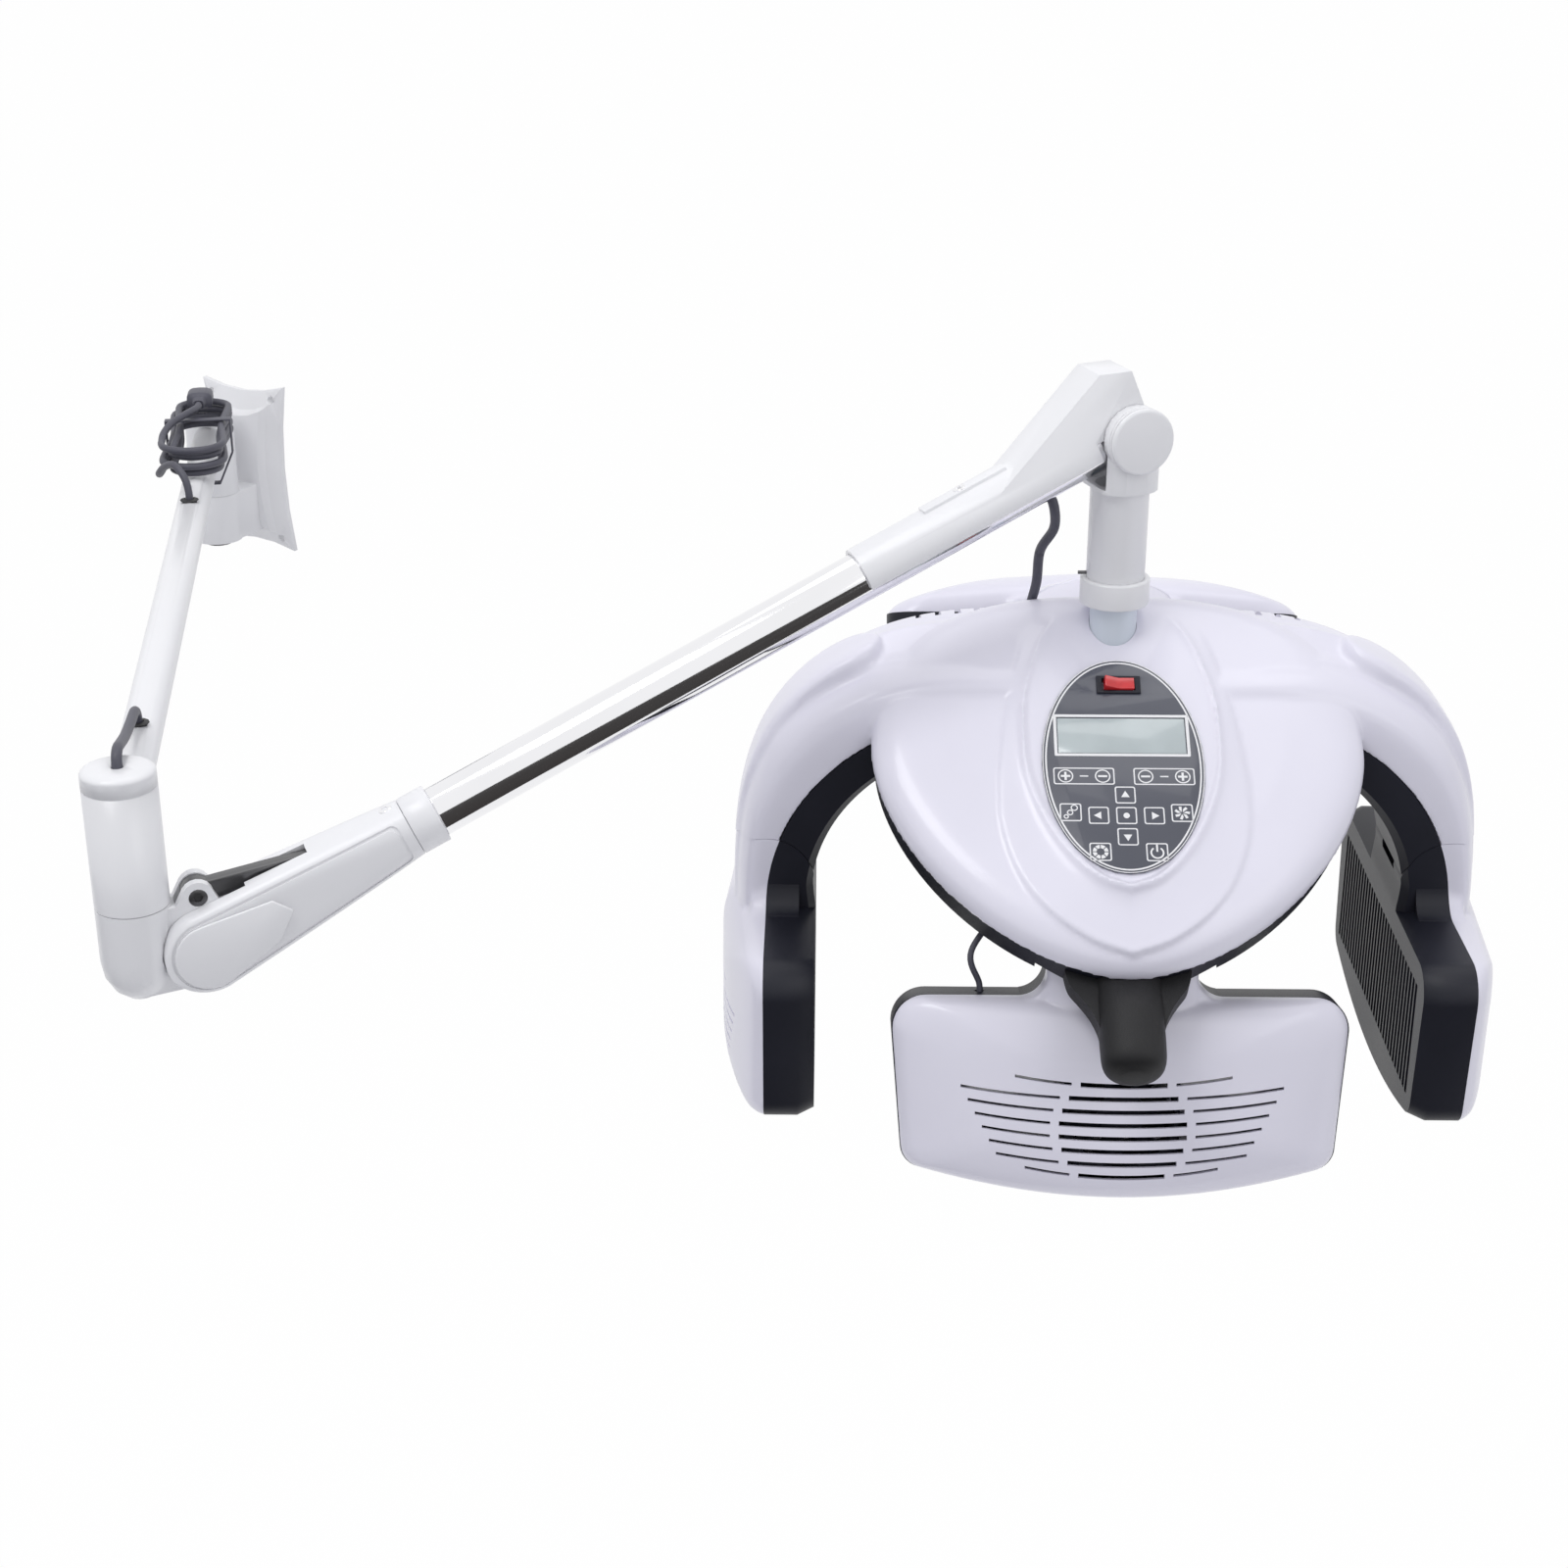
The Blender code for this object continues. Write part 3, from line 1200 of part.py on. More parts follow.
def wing_liner(front=False):
    """Black inner tray of a wing with the grille over its heater."""
    outline = paddle_outline()
    depth = TRAY_DEPTH - TRAY_BEVEL
    drawn = 0.95
    rings = [[wing_place(u, 0, down) for u, down in outline], [wing_place(u, -depth, down) for u, down in outline],
             [wing_place(u * drawn, -TRAY_DEPTH, PADDLE_MID + (down - PADDLE_MID) * drawn) for u, down in outline]]
    pocket = loft([[wing_place(u, out, down) for u, down in paddle_outline(inset)]
                   for inset, out in ((SHELL_WALL, 0.01), (SHELL_WALL, -depth),
                                      (3 * SHELL_WALL, SHELL_WALL - TRAY_DEPTH))])
    window = placed(grille_slots(WINDOW_W, WINDOW_H, GRILLE_BARS), shift(y=TRAY_DEPTH, z=-WINDOW_MID))
    tray = cut(loft(rings), pocket, window)
    webs = shoulder_fillets(-depth, neck_part(PADDLE_TOP - PADDLE_FILLET) - GAP)
    body = keep(join(tray, neck_liner(), webs), hinge_keep(front))
    tools = [hinge_slot(front), stub_bore()]
    if front:
        u, out, down = FRONT_LEAD_WING
        tools.append(placed(rod(THIN_LEAD_R + 4 * GAP, -down - 0.002, 0, 12), shift(u, -out, 0)))
    return cut(body, *tools)


def grille_slots(width, height, bars):
    """Slots between a grille's upright bars, cut along Y, centred on a window."""
    pitch = (width + GRILLE_BAR_W) / (bars + 1)
    half = (pitch - GRILLE_BAR_W) / 2
    slots = []
    for k in range(bars + 1):
        x = (k - bars / 2) * pitch
        slots.append(box((x - half, x + half), (-0.02, 0.02), (-height / 2, height / 2)))
    return group(*slots)


def reflector(width, height):
    """Folded reflector, open to +Y, with its lips on the plane y = 0."""
    half = height / 2
    line = [(0, -half - REFLECTOR_LIP), (0, -half + 0.002), (-REFLECTOR_DEPTH * 0.8, -half * 0.55),
            (-REFLECTOR_DEPTH, -half * 0.2), (-REFLECTOR_DEPTH, half * 0.2), (-REFLECTOR_DEPTH * 0.8, half * 0.55),
            (0, half - 0.002), (0, half + REFLECTOR_LIP)]
    back = [(y - REFLECTOR_T, z) for y, z in reversed(line)]
    return placed(plate([*line, *back], -width / 2, width / 2), CYCLE)


def lamp(width):
    """Quartz lamp with a ceramic holder on each end, lying in its reflector."""
    end = width / 2 - 0.006
    neck = end - LAMP_END_L
    profile = [(0, end), (LAMP_END_R, end), (LAMP_END_R, neck), (LAMP_R, neck), (LAMP_R, -neck),
               (LAMP_END_R, -neck), (LAMP_END_R, -end), (0, -end)]
    return placed(turned(profile, 12), TO_X, shift(y=-REFLECTOR_DEPTH + LAMP_END_R + GAP))


def fan_frame():
    """Square fan frame with a bore, a motor plate on four struts and the rotor's shaft, along +Z."""
    half = FAN_SIZE / 2
    corner = 0.005
    outline = []
    for k, (sx, sy) in enumerate(((1, 1), (-1, 1), (-1, -1), (1, -1))):
        outline += arc(sx * (half - corner), sy * (half - corner), corner, corner, 90 * k, 90 * k + 90, 2)
    bore = arc(0, 0, FAN_BORE_R, FAN_BORE_R, 0, 342, 19)
    frame = plate(outline, 0, FAN_T, [bore])
    motor = rod(FAN_HUB_R, 0, 0.003, 20)
    struts = [box((-0.002, 0.002), (-FAN_BORE_R - 0.001, FAN_BORE_R + 0.001), (0, 0.003)),
              box((-FAN_BORE_R - 0.001, FAN_BORE_R + 0.001), (-0.002, 0.002), (0, 0.003))]
    shaft = rod(0.002, 0.001, FAN_T - 0.004, 12)
    return join(frame, motor, *struts, shaft)


def fan_rotor():
    """Hub cup with twisted blades, along +Z."""
    low = 0.003 + RUN
    high = FAN_T - 0.0015
    tip = FAN_BORE_R - FAN_TIP_GAP
    hub_solid = rod(FAN_HUB_R - 0.0005, low, high, 20)
    blades = []
    for k in range(FAN_BLADES):
        sections = []
        for radius, lean in ((FAN_HUB_R - 0.003, 0.75), (tip, 1.0)):
            half = 0.0075
            rise = (high - low) / 2 * 0.86
            mid = (low + high) / 2
            thin = 0.0007
            sections.append([(radius, -half * lean - thin, mid - rise), (radius, -half * lean + thin, mid - rise),
                             (radius, half * lean + thin, mid + rise), (radius, half * lean - thin, mid + rise)])
        blades.append(placed(loft(sections), turn(2 * math.pi * k / FAN_BLADES, 'Z')))
    bore = rod(0.002 + GAP, -1, FAN_T - 0.0035, 12)
    return cut(join(hub_solid, *blades), bore)


# Hood covers

def rear_limb(shares_white):
    """Sections of the rear limb: white between spine and parting, or black under the parting."""
    start_y = 0.020
    c, s = math.cos(REAR_LEAN), math.sin(REAR_LEAN)

    def rear(out, down):
        return (REAR_HINGE_Y + out * c + down * s, REAR_HINGE_Z + out * s - down * c)

    back = -0.030
    end_part = neck_part(back)
    outer = ((start_y, -0.002), rear(neck_outer(back), back))
    part_edge = ((start_y, -0.045), rear(end_part, back))
    inner = ((start_y, -0.070), rear(end_part - LINER_END_T, back))
    half = NECK_W / 2
    sections = []
    for share in (0.0, 0.5, 1.0):
        edge = [a + (b - a) * share for a, b in zip(*part_edge)]
        if shares_white:
            far = [a + (b - a) * share for a, b in zip(*outer)]
            edge[1] += GAP
            shape = limb_shape([wide + (plain - wide) * share for wide, plain in zip(LIMB_FULL, LIMB_PLAIN)])
        else:
            far = [a + (b - a) * share for a, b in zip(*inner)]
            shape = ((half, 0.0), (half, 0.82), (half - 0.006, 1.0))
        pairs = [*shape, *[(-x, t) for x, t in reversed(shape)]]
        sections.append([(x, edge[0] + (far[0] - edge[0]) * t, edge[1] + (far[1] - edge[1]) * t)
                         for x, t in pairs])
    return loft(sections)


def hinge_places():
    """Hinge frames of the wings in the hood's frame, by wing name."""
    quarter = math.radians(90)
    return {
        "right": shift(HINGE_X, 0, HINGE_Z) @ turn(quarter, 'Z'),
        "left": shift(-HINGE_X, 0, HINGE_Z) @ turn(-quarter, 'Z'),
        "rear": shift(0, REAR_HINGE_Y, REAR_HINGE_Z) @ turn(2 * quarter, 'Z') @ turn(-REAR_LEAN, 'X'),
        "front": shift(0, FRONT_HINGE_Y, FRONT_HINGE_Z) @ turn(-FRONT_LEAN, 'X'),
    }


def vents():
    """Notches along the rear top edge, either side of the rear limb."""
    notches = []
    for k in range(VENT_COUNT):
        for side in (-1, 1):
            x = side * (VENT_FIRST + k * VENT_PITCH)
            tooth = [(x - VENT_W / 2, 0.01), (x, -0.0225), (x + VENT_W / 2, 0.01)]
            notches.append(placed(plate(tooth, -0.060, -0.030), turn(math.radians(90), 'X')))
    return group(*notches)


def rocker_well(extra):
    """Hole for the rocker switch's body through the panel and the cover."""
    wide = ROCKER_FRAME_W - 2 * ROCKER_LIP + 2 * extra
    high = ROCKER_FRAME_H - 2 * ROCKER_LIP + 2 * extra
    return box((-wide / 2, wide / 2), (ROCKER_V - high / 2, ROCKER_V + high / 2), (-0.03, 0.03))


def behind(y):
    """Everything behind a depth in the hood's frame."""
    return box((-1, 1), (y, 1), (-1, 1))


def top_cover():
    """White hood cover: sloping shield, leaf, side limbs and rear limb, hollow under the shield."""
    limb = join(side_limb_shell(), spine_band())
    dome = placed(dome_solid(0.0, DOME_RIM), ON_SLOPE)
    leaf = placed(leaf_solid(), ON_SLOPE)
    body = join(dome, limb, placed(limb, MIRROR_X), rear_limb(True), leaf)
    hollow = cut(placed(dome_solid(-DOME_WALL, -0.10), ON_SLOPE), behind(NECK_W / 2 - REAR_WALL))
    wider = Matrix.Scale(1 + 2 * GAP / NECK_W, 4, (1, 0, 0))
    black = placed(rear_limb(False), wider)
    black_room = join(placed(black, shift(z=1.4 * GAP)), placed(black, shift(z=-0.006)))
    stem = rod(INNER_STEM_R + GAP, -1, 1, 20)
    hub_room = rod(STEM_R + 0.0085, -1, GAP - HUB_SINK, 20)
    well = placed(rocker_well(GAP), ON_SLOPE)
    lead = placed(rod(LEAD_R + 4 * GAP, -0.1, 0.1, 16), shift(*HEAD_LEAD_END))
    rooms = [placed(hinge_room(False), place) for name, place in hinge_places().items() if name != "front"]
    return cut(body, hollow, black_room, hub_room, stem, well, lead, vents(), *rooms)


def bottom_case():
    """Black case under the cover: tray with the middle heater's grille, limb liners and hinge tongues."""
    tray = plate(dome_outline(-CASE_INSET), CASE_LOW, CASE_TOP)
    pocket = plate(dome_outline(-CASE_INSET - DOME_WALL), CASE_LOW + CASE_FLOOR, 0.05)
    window = placed(grille_slots(CENTRE_W, WINDOW_H, CENTRE_BARS), turn(math.radians(-90), 'X'),
                    shift(0, CENTRE_V, CASE_LOW))
    block = keep(box((-0.062, 0.062), (-0.20, -0.070), (CASE_LOW + 0.001, CASE_TOP)),
                 plate(dome_outline(-CASE_INSET), -1, 1))
    lead = placed(rod(THIN_LEAD_R + 4 * GAP, -0.1, CASE_TOP, 12), shift(*FRONT_LEAD_CASE))
    shell = placed(join(cut(tray, pocket, window, lead), block), ON_SLOPE)
    shell = cut(shell, behind(NECK_W / 2 - REAR_WALL - GAP))
    liner = side_limb_liner()
    stem_hub = rod(STEM_R + 0.008, -0.070, -HUB_SINK, 20)
    body = join(shell, liner, placed(liner, MIRROR_X), rear_limb(False), stem_hub)
    seat = rod(INNER_STEM_R + GAP, INNER_STEM_FOOT - GAP, 1, 20)
    places = hinge_places()
    body = cut(body, seat, *[placed(hinge_room(name == "front"), place) for name, place in places.items()])
    tongues = [placed(hinge_tongue(), places[name]) for name in ("right", "left", "rear")]
    return join(body, *tongues, front_lug(places["front"]))


def front_lug(place):
    """Lug under the case for the front wing's hinge, square to the sloping floor."""
    half = TONGUE2_W / 2
    axis = ON_SLOPE.inverted() @ place.translation
    web = placed(box((-half, half), (axis.y - 0.009, axis.y + 0.009), (axis.z, CASE_TOP - 0.002)), ON_SLOPE)
    return join(placed(hinge_eye(), place), web)


HANDLE_STAGES = ((-0.22, 1.95, 0.60), (0.05, 1.85, 0.66), (0.19, 1.54, 0.78), (0.32, 1.25, 0.92), (0.46, 1.04, 0.99),
                 (0.68, 1.0, 1.0), (0.86, 0.96, 0.96), (0.95, 0.78, 0.78), (1.0, 0.42, 0.42))


def handle():
    """Round grip that flares into a web along the case's front edge."""
    start_v = DOME_MID - DOME_TIP + 0.006
    root = ON_SLOPE @ Vector((0, start_v, CASE_TOP - CASE_DEPTH / 2))
    sections = []
    for along, wide, high in HANDLE_STAGES:
        shape = superellipse(HANDLE_R * wide, HANDLE_R * high, 2.2, 20)
        sections.append([(x, -along * HANDLE_LENGTH, z) for x, z in shape])
    grip = placed(loft(sections), turn(HANDLE_DROP, 'X'), shift(*root))
    case_room = placed(plate(dome_outline(-CASE_INSET + GAP), CASE_LOW - 0.012, DOME_RIM), ON_SLOPE)
    dome_room = placed(dome_solid(GAP, DOME_RIM - GAP), ON_SLOPE)
    return cut(grip, case_room, dome_room)


def control_panel():
    """Oval panel with openings for the display and the rocker switch."""
    outline = arc(0, PANEL_V, PANEL_W / 2, PANEL_L / 2, 0, 350, 35)
    wide = ROCKER_FRAME_W - 2 * ROCKER_LIP + 2 * GAP
    high = ROCKER_FRAME_H - 2 * ROCKER_LIP + 2 * GAP
    holes = [rectangle(0, LCD_V, LCD_W, LCD_H), rectangle(0, ROCKER_V, wide, high)]
    return placed(plate(outline, GAP, GAP + PANEL_T, holes), ON_SLOPE)


def lcd_window():
    outline = rectangle(0, LCD_V, LCD_W - 2 * GAP, LCD_H - 2 * GAP)
    return placed(plate(outline, GAP, PANEL_T), ON_SLOPE)


def rocker_frame():
    """Lipped frame and body of the rocker switch."""
    wide = ROCKER_FRAME_W - 2 * ROCKER_LIP
    high = ROCKER_FRAME_H - 2 * ROCKER_LIP
    lip_low = 2 * GAP + PANEL_T
    lip = plate(rectangle(0, ROCKER_V, ROCKER_FRAME_W, ROCKER_FRAME_H), lip_low, lip_low + ROCKER_LIP)
    body = plate(rectangle(0, ROCKER_V, wide, high), -ROCKER_DEPTH, lip_low + ROCKER_LIP / 2)
    well = plate(rectangle(0, ROCKER_V, ROCKER_W + 2 * RUN, ROCKER_H + 2 * RUN), 0.003 - ROCKER_DEPTH, 0.05)
    return placed(cut(join(lip, body), well), ON_SLOPE)


def rocker_button():
    """Two-faced rocker about its own axis along Y, pressed down on one side."""
    half = ROCKER_W / 2 * 0.94
    side = [(-half, 0.0015), (-half * 0.95, -0.004), (half * 0.95, -0.004), (half, 0.0015), (half, 0.0045),
            (0, 0.0025), (-half, 0.0045)]
    body = plate(side, -ROCKER_H / 2, ROCKER_H / 2)
    return placed(body, turn(math.radians(90), 'X'), turn(ROCKER_TILT, 'Y'))


# Leads that cross the head's joints and the front wing's hinge

def head_lead_points():
    """From the second arm's underside, past the stem, to the hood's rear edge, about the head pivot."""
    slope = math.sin(ARM2_RISE)
    fall = math.cos(ARM2_RISE)
    on_axis = Vector((-HEAD_LEAD_X, 0, -HEAD_LEAD_X * math.tan(ARM2_RISE)))
    down = Vector((slope, 0, -fall))
    swing = turn(HEAD_YAW - ARM2_YAW, 'Z')
    seat = swing @ Vector(HEAD_LEAD_END) - Vector((0, 0, PIVOT_HEIGHT))
    first = on_axis + down * (TUBE_R - 0.004)
    leave = on_axis + down * (TUBE_R + 0.008)
    middle = Vector(HEAD_LEAD_MIDDLE)
    along = (seat - leave).normalized()
    upper = [first, leave, leave.lerp(middle, 0.5) + Vector((0.004, -0.003, 0.001)), middle - along * 0.008,
             middle - along * GAP]
    lower = [middle + along * GAP, middle + along * 0.008, middle.lerp(seat, 0.55) + Vector((0.001, -0.001, 0.002)),
             seat + Vector((0, 0, 0.014)), seat + Vector((0, 0, 0.004)), seat - Vector((0, 0, 0.008))]
    return upper, lower


def front_lead_points():
    """Short lead from the case's underside into the front wing's shoulder, in the hood's frame."""
    place = hinge_places()["front"]
    wing_end = place @ Vector(wing_place(*FRONT_LEAD_WING))
    wing_out = place @ Vector(wing_place(FRONT_LEAD_WING[0], FRONT_LEAD_WING[1], FRONT_LEAD_WING[2] - 0.012))
    case_end = ON_SLOPE @ Vector((*FRONT_LEAD_CASE, CASE_LOW + 0.001))
    case_out = ON_SLOPE @ Vector((*FRONT_LEAD_CASE, CASE_LOW - 0.012))
    bow = case_out.lerp(wing_out, 0.5) + Vector((-0.016, -0.010, -0.002))
    return [case_end, case_out, bow, wing_out, wing_end]


def finishes():
    return {
        "arm_white": material("arm_white", (0.80, 0.80, 0.80), 0.32),
        "hood_white": material("hood_white", (0.78, 0.77, 0.84), 0.28),
        "black": material("black", (0.020, 0.021, 0.027), 0.42),
        "panel_slate": material("panel_slate", (0.075, 0.080, 0.105), 0.35),
        "display": material("display", (0.50, 0.55, 0.56), 0.15),
        "red": material("red", (0.55, 0.020, 0.025), 0.25),
        "chrome": material("chrome", (0.80, 0.80, 0.82), 0.07, 1.0),
        "steel": material("steel", (0.45, 0.45, 0.47), 0.35, 1.0),
        "bronze": material("bronze", (0.45, 0.29, 0.13), 0.40, 1.0),
        "reflector": material("reflector", (0.75, 0.75, 0.76), 0.20, 1.0),
        "cord_white": material("cord_white", (0.62, 0.62, 0.63), 0.55),
        "cord_grey": material("cord_grey", (0.16, 0.16, 0.18), 0.55),
        "inner_stem": material("inner_stem", (0.72, 0.77, 0.84), 0.30),
        "lamp": material("lamp", (0.62, 0.60, 0.56), 0.20),
    }


def main():
    start()
    look = finishes()
    quarter = math.radians(90)
    swivel = joint_empty("swivel_axis", None, (0, -SWIVEL_REACH, 0), (0, 0, ARM1_YAW))
    elbow = joint_empty("elbow_axis", swivel, (ARM1_LENGTH, 0, 0), (0, 0, ARM2_YAW - ARM1_YAW))
    tilt = joint_empty("tilt_axis", elbow, (TILT_X, 0, TILT_Z), (0, -ARM2_RISE, 0))
    bolt = joint_empty("rod_axis", elbow, (TILT_X - BOLT_BACK, 0, TILT_Z + BOLT_RISE), (0, -ROD_RISE, 0))
    pivot = joint_empty("head_tilt_axis", tilt, (ARM2_LENGTH, 0, 0), (0, ARM2_RISE, 0))
    head = joint_empty("head_axis", pivot, (0, 0, -PIVOT_HEIGHT), (0, 0, HEAD_YAW - ARM2_YAW))
    rocker = joint_empty("rocker_axis", head, ON_SLOPE @ Vector((0, ROCKER_V, ROCKER_PIVOT)), (DOME_SLOPE, 0, 0))
    wings = {}
    for name, place in hinge_places().items():
        wings[name] = joint_empty(name + "_wing_axis", head, place.translation, place.to_euler())
    fan = joint_empty("fan_axis", wings["front"], wing_place(0, FAN_FACE - FAN_T, FAN_MID), (quarter, 0, 0))

    part("wall_plate", wall_plate(), None, look["arm_white"])
    pin_low = LUG_BOTTOM - GAP
    part("swivel_pin", headed_pin(SPINDLE_R, pin_low, SLEEVE_TOP - 0.009, 0.013, 0.004), swivel, look["steel"])

    part("swivel_sleeve", swivel_sleeve(), swivel, look["arm_white"])
    part("swivel_bush", bush(SLEEVE_BOTTOM, SLEEVE_TOP - CAP_SPIGOT - GAP), swivel, look["bronze"])
    part("swivel_cap", swivel_cap(), swivel, look["black"])
    part("first_arm_tube", first_arm_tube(), swivel, look["arm_white"])
    part("elbow_post", elbow_post(), swivel, look["arm_white"], (ARM1_LENGTH, 0, 0))
    part("elbow_bush", bush(POST_BOTTOM, POST_TOP - 0.010), swivel, look["bronze"], (ARM1_LENGTH, 0, 0))
    part("mains_grommet", grommet(CORD_R), swivel, look["black"], (MAINS_HOLE_X, 0, 0))
    part("elbow_grommet", grommet(LEAD_R), swivel, look["black"], (ARM1_LENGTH - ELBOW_CABLE_X, 0, 0))
    part("elbow_cable", cord(smooth_path(elbow_cable_points(), 0.008), LEAD_R, 2), swivel, look["cord_grey"])
    hank, plug_z = hank_points()
    hank_path = smooth_path(hank, 1.0)
    print("hank length %.3f m, least gap %.5f m" % (sum((b - a).length for a, b in zip(hank_path, hank_path[1:])),
                                                   least_gap(smooth_path(hank, 0.006), CORD_R)))
    part("mains_cord", cord(hank_path, CORD_R, 1), swivel, look["cord_white"])
    part("mains_plug", mains_plug(plug_z), swivel, look["cord_white"])
    part("hank_tie", hank_tie(), swivel, look["cord_grey"])

    part("elbow_knuckle", elbow_knuckle(), elbow, look["arm_white"])
    part("elbow_spindle", elbow_spindle(), elbow, look["steel"])
    part("spring_bolt", spring_bolt(), elbow, look["steel"])
    part("balance_rod", balance_rod(), bolt, look["chrome"])

    part("lower_arm_housing", lower_arm_housing(), tilt, look["arm_white"])
    part("pivot_cover_pin", pivot_cover_pin(), tilt, look["arm_white"])
    part("pivot_cover", placed(side_cover(), MIRROR_Y), tilt, look["arm_white"])
    arm_collar = placed(ring(COLLAR_R, TUBE_R + GAP, HOUSING_LENGTH + GAP, HOUSING_LENGTH + COLLAR_LENGTH), TO_X)
    part("arm_collar", arm_collar, tilt, look["arm_white"])
    part("chrome_tube", chrome_tube(), tilt, look["chrome"])
    part("upper_arm_cover", upper_arm_cover(), tilt, look["arm_white"])
    part("spring_barrel", spring_barrel(), tilt, look["steel"])
    upper_lead, lower_lead = head_lead_points()
    to_arm = turn(ARM2_RISE, 'Y')
    to_arm.translation = (ARM2_LENGTH, 0, 0)
    upper_path = [to_arm @ p for p in smooth_path(upper_lead, 0.008)]
    part("head_cable_upper", cord(upper_path, LEAD_R, 2), tilt, look["cord_grey"])

    part("stem_fork", stem_fork(), pivot, look["arm_white"])
    part("pivot_cap_pin", pivot_cap_pin(), pivot, look["arm_white"])
    part("pivot_cap", pivot_cap(), pivot, look["arm_white"])
    part("stem_collar", stem_collar(), pivot, look["arm_white"])

    part("inner_stem", inner_stem(), head, look["inner_stem"])
    part("top_cover", top_cover(), head, look["hood_white"])
    part("bottom_case", bottom_case(), head, look["black"])
    part("handle", handle(), head, look["black"])
    part("control_panel", control_panel(), head, look["panel_slate"])
    part("lcd_window", lcd_window(), head, look["display"])
    part("rocker_frame", rocker_frame(), head, look["black"])
    face_down = ON_SLOPE @ shift(0, CENTRE_V, CASE_LOW) @ turn(-quarter, 'X')
    on_floor = shift(y=-CASE_FLOOR - GAP)
    part("centre_reflector", placed(reflector(CENTRE_W, WINDOW_H), on_floor, face_down), head, look["reflector"])
    part("centre_lamp", placed(lamp(CENTRE_W), on_floor, face_down), head, look["lamp"])
    from_pivot = turn(ARM2_YAW - HEAD_YAW, 'Z') @ shift(z=PIVOT_HEIGHT)
    lower_path = [from_pivot @ p for p in smooth_path(lower_lead, 0.008)]
    part("head_cable_lower", cord(lower_path, LEAD_R, 2), head, look["cord_grey"])
    part("front_cable", cord(smooth_path(front_lead_points(), 0.007), THIN_LEAD_R, 2), head, look["cord_grey"])
    part("rocker_button", rocker_button(), rocker, look["red"])

    shells = {False: wing_shell(), True: wing_shell(front=True)}
    liners = {False: wing_liner(), True: wing_liner(front=True)}
    in_tray = shift(y=TRAY_DEPTH - SHELL_WALL - GAP, z=-WINDOW_MID)
    sheet = placed(reflector(WINDOW_W, WINDOW_H), in_tray)
    tube = placed(lamp(WINDOW_W), in_tray)
    for name, axis in wings.items():
        front = name == "front"
        part(name + "_wing_shell", shells[front].copy(), axis, look["hood_white"])
        part(name + "_wing_liner", liners[front].copy(), axis, look["black"])
        part(name + "_wing_reflector", sheet.copy(), axis, look["reflector"])
        part(name + "_wing_lamp", tube.copy(), axis, look["lamp"])
    part("fan_frame", fan_frame(), wings["front"], look["black"],
         wing_place(0, FAN_FACE - FAN_T, FAN_MID), (quarter, 0, 0))
    part("fan_rotor", fan_rotor(), fan, look["black"])


if __name__ == "__main__":
    main()
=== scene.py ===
"""Wall-mounted hood dryer, dressed: finely moulded hood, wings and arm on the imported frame."""
import json
from math import copysign, cos, hypot, pi, radians, sin, sqrt, tan

import bmesh
import bpy
from mathutils import Matrix, Vector


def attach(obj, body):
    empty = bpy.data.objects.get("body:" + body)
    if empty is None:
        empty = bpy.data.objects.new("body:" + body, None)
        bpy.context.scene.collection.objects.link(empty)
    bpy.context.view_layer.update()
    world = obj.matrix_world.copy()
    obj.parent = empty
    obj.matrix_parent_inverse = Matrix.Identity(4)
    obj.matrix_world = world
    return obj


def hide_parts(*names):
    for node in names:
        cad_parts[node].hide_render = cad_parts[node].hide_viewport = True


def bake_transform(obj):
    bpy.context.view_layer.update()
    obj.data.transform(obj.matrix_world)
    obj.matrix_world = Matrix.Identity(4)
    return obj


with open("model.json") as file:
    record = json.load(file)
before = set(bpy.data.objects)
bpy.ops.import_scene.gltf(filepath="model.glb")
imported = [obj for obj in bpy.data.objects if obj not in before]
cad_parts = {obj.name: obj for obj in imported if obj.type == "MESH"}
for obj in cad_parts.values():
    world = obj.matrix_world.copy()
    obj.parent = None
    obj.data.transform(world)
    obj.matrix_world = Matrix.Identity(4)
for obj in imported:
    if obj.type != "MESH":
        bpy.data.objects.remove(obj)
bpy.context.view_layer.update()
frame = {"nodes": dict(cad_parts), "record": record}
NODES = frame["nodes"]
SCENE = bpy.context.scene

# Fits
GAP = 0.0003  # between pieces that seat on each other
RUN = 0.0004  # between faces that turn past each other

# First arm
SWIVEL_REACH = 0.060  # swivel axis in front of the wall
SLEEVE_R = 0.0235
ARM1_LENGTH = 0.959
ARM1_YAW = radians(-53.5)
ARM1_R = 0.01425
ARM1_Z = 0.046
POST_R = 0.0245
POST_TOP = 0.0757
POST_CAP_H = 0.006
POST_GROOVE = 0.0009  # depth of the line round the post's cap

# Elbow
ARM2_YAW = radians(47.07)
TILT_X = 0.0445  # tilt pivot in front of the post axis
TILT_Z = -0.050
TONGUE_T = 0.024
BOLT_BACK = 0.003  # spring bolt behind and above the tilt pivot
BOLT_RISE = 0.037
BOLT_R = 0.006
BOLT_SOCKET_R = 0.0032
BOLT_SOCKET_DEPTH = 0.003
BOLT_LUG_R = 0.011
TILT_PIN_R = 0.007
ROD_T = 0.010

# Second arm
ARM2_LENGTH = 0.722
ARM2_RISE = radians(23.76)
HOUSING_W = 0.050
HOUSING_END_R = 0.0295
HOUSING_LENGTH = 0.155
HOUSING_TIP_R = 0.0198
BEAD_OUTER = 0.0045  # line round the housing's sides, in from its edge
BEAD_INNER = 0.0066
BEAD_DEPTH = 0.0010
SCREW_H = 0.0008
TUBE_R = 0.0175
TUBE_SOCKET = 0.027
COLLAR_R = 0.0208
COVER_T = 0.003

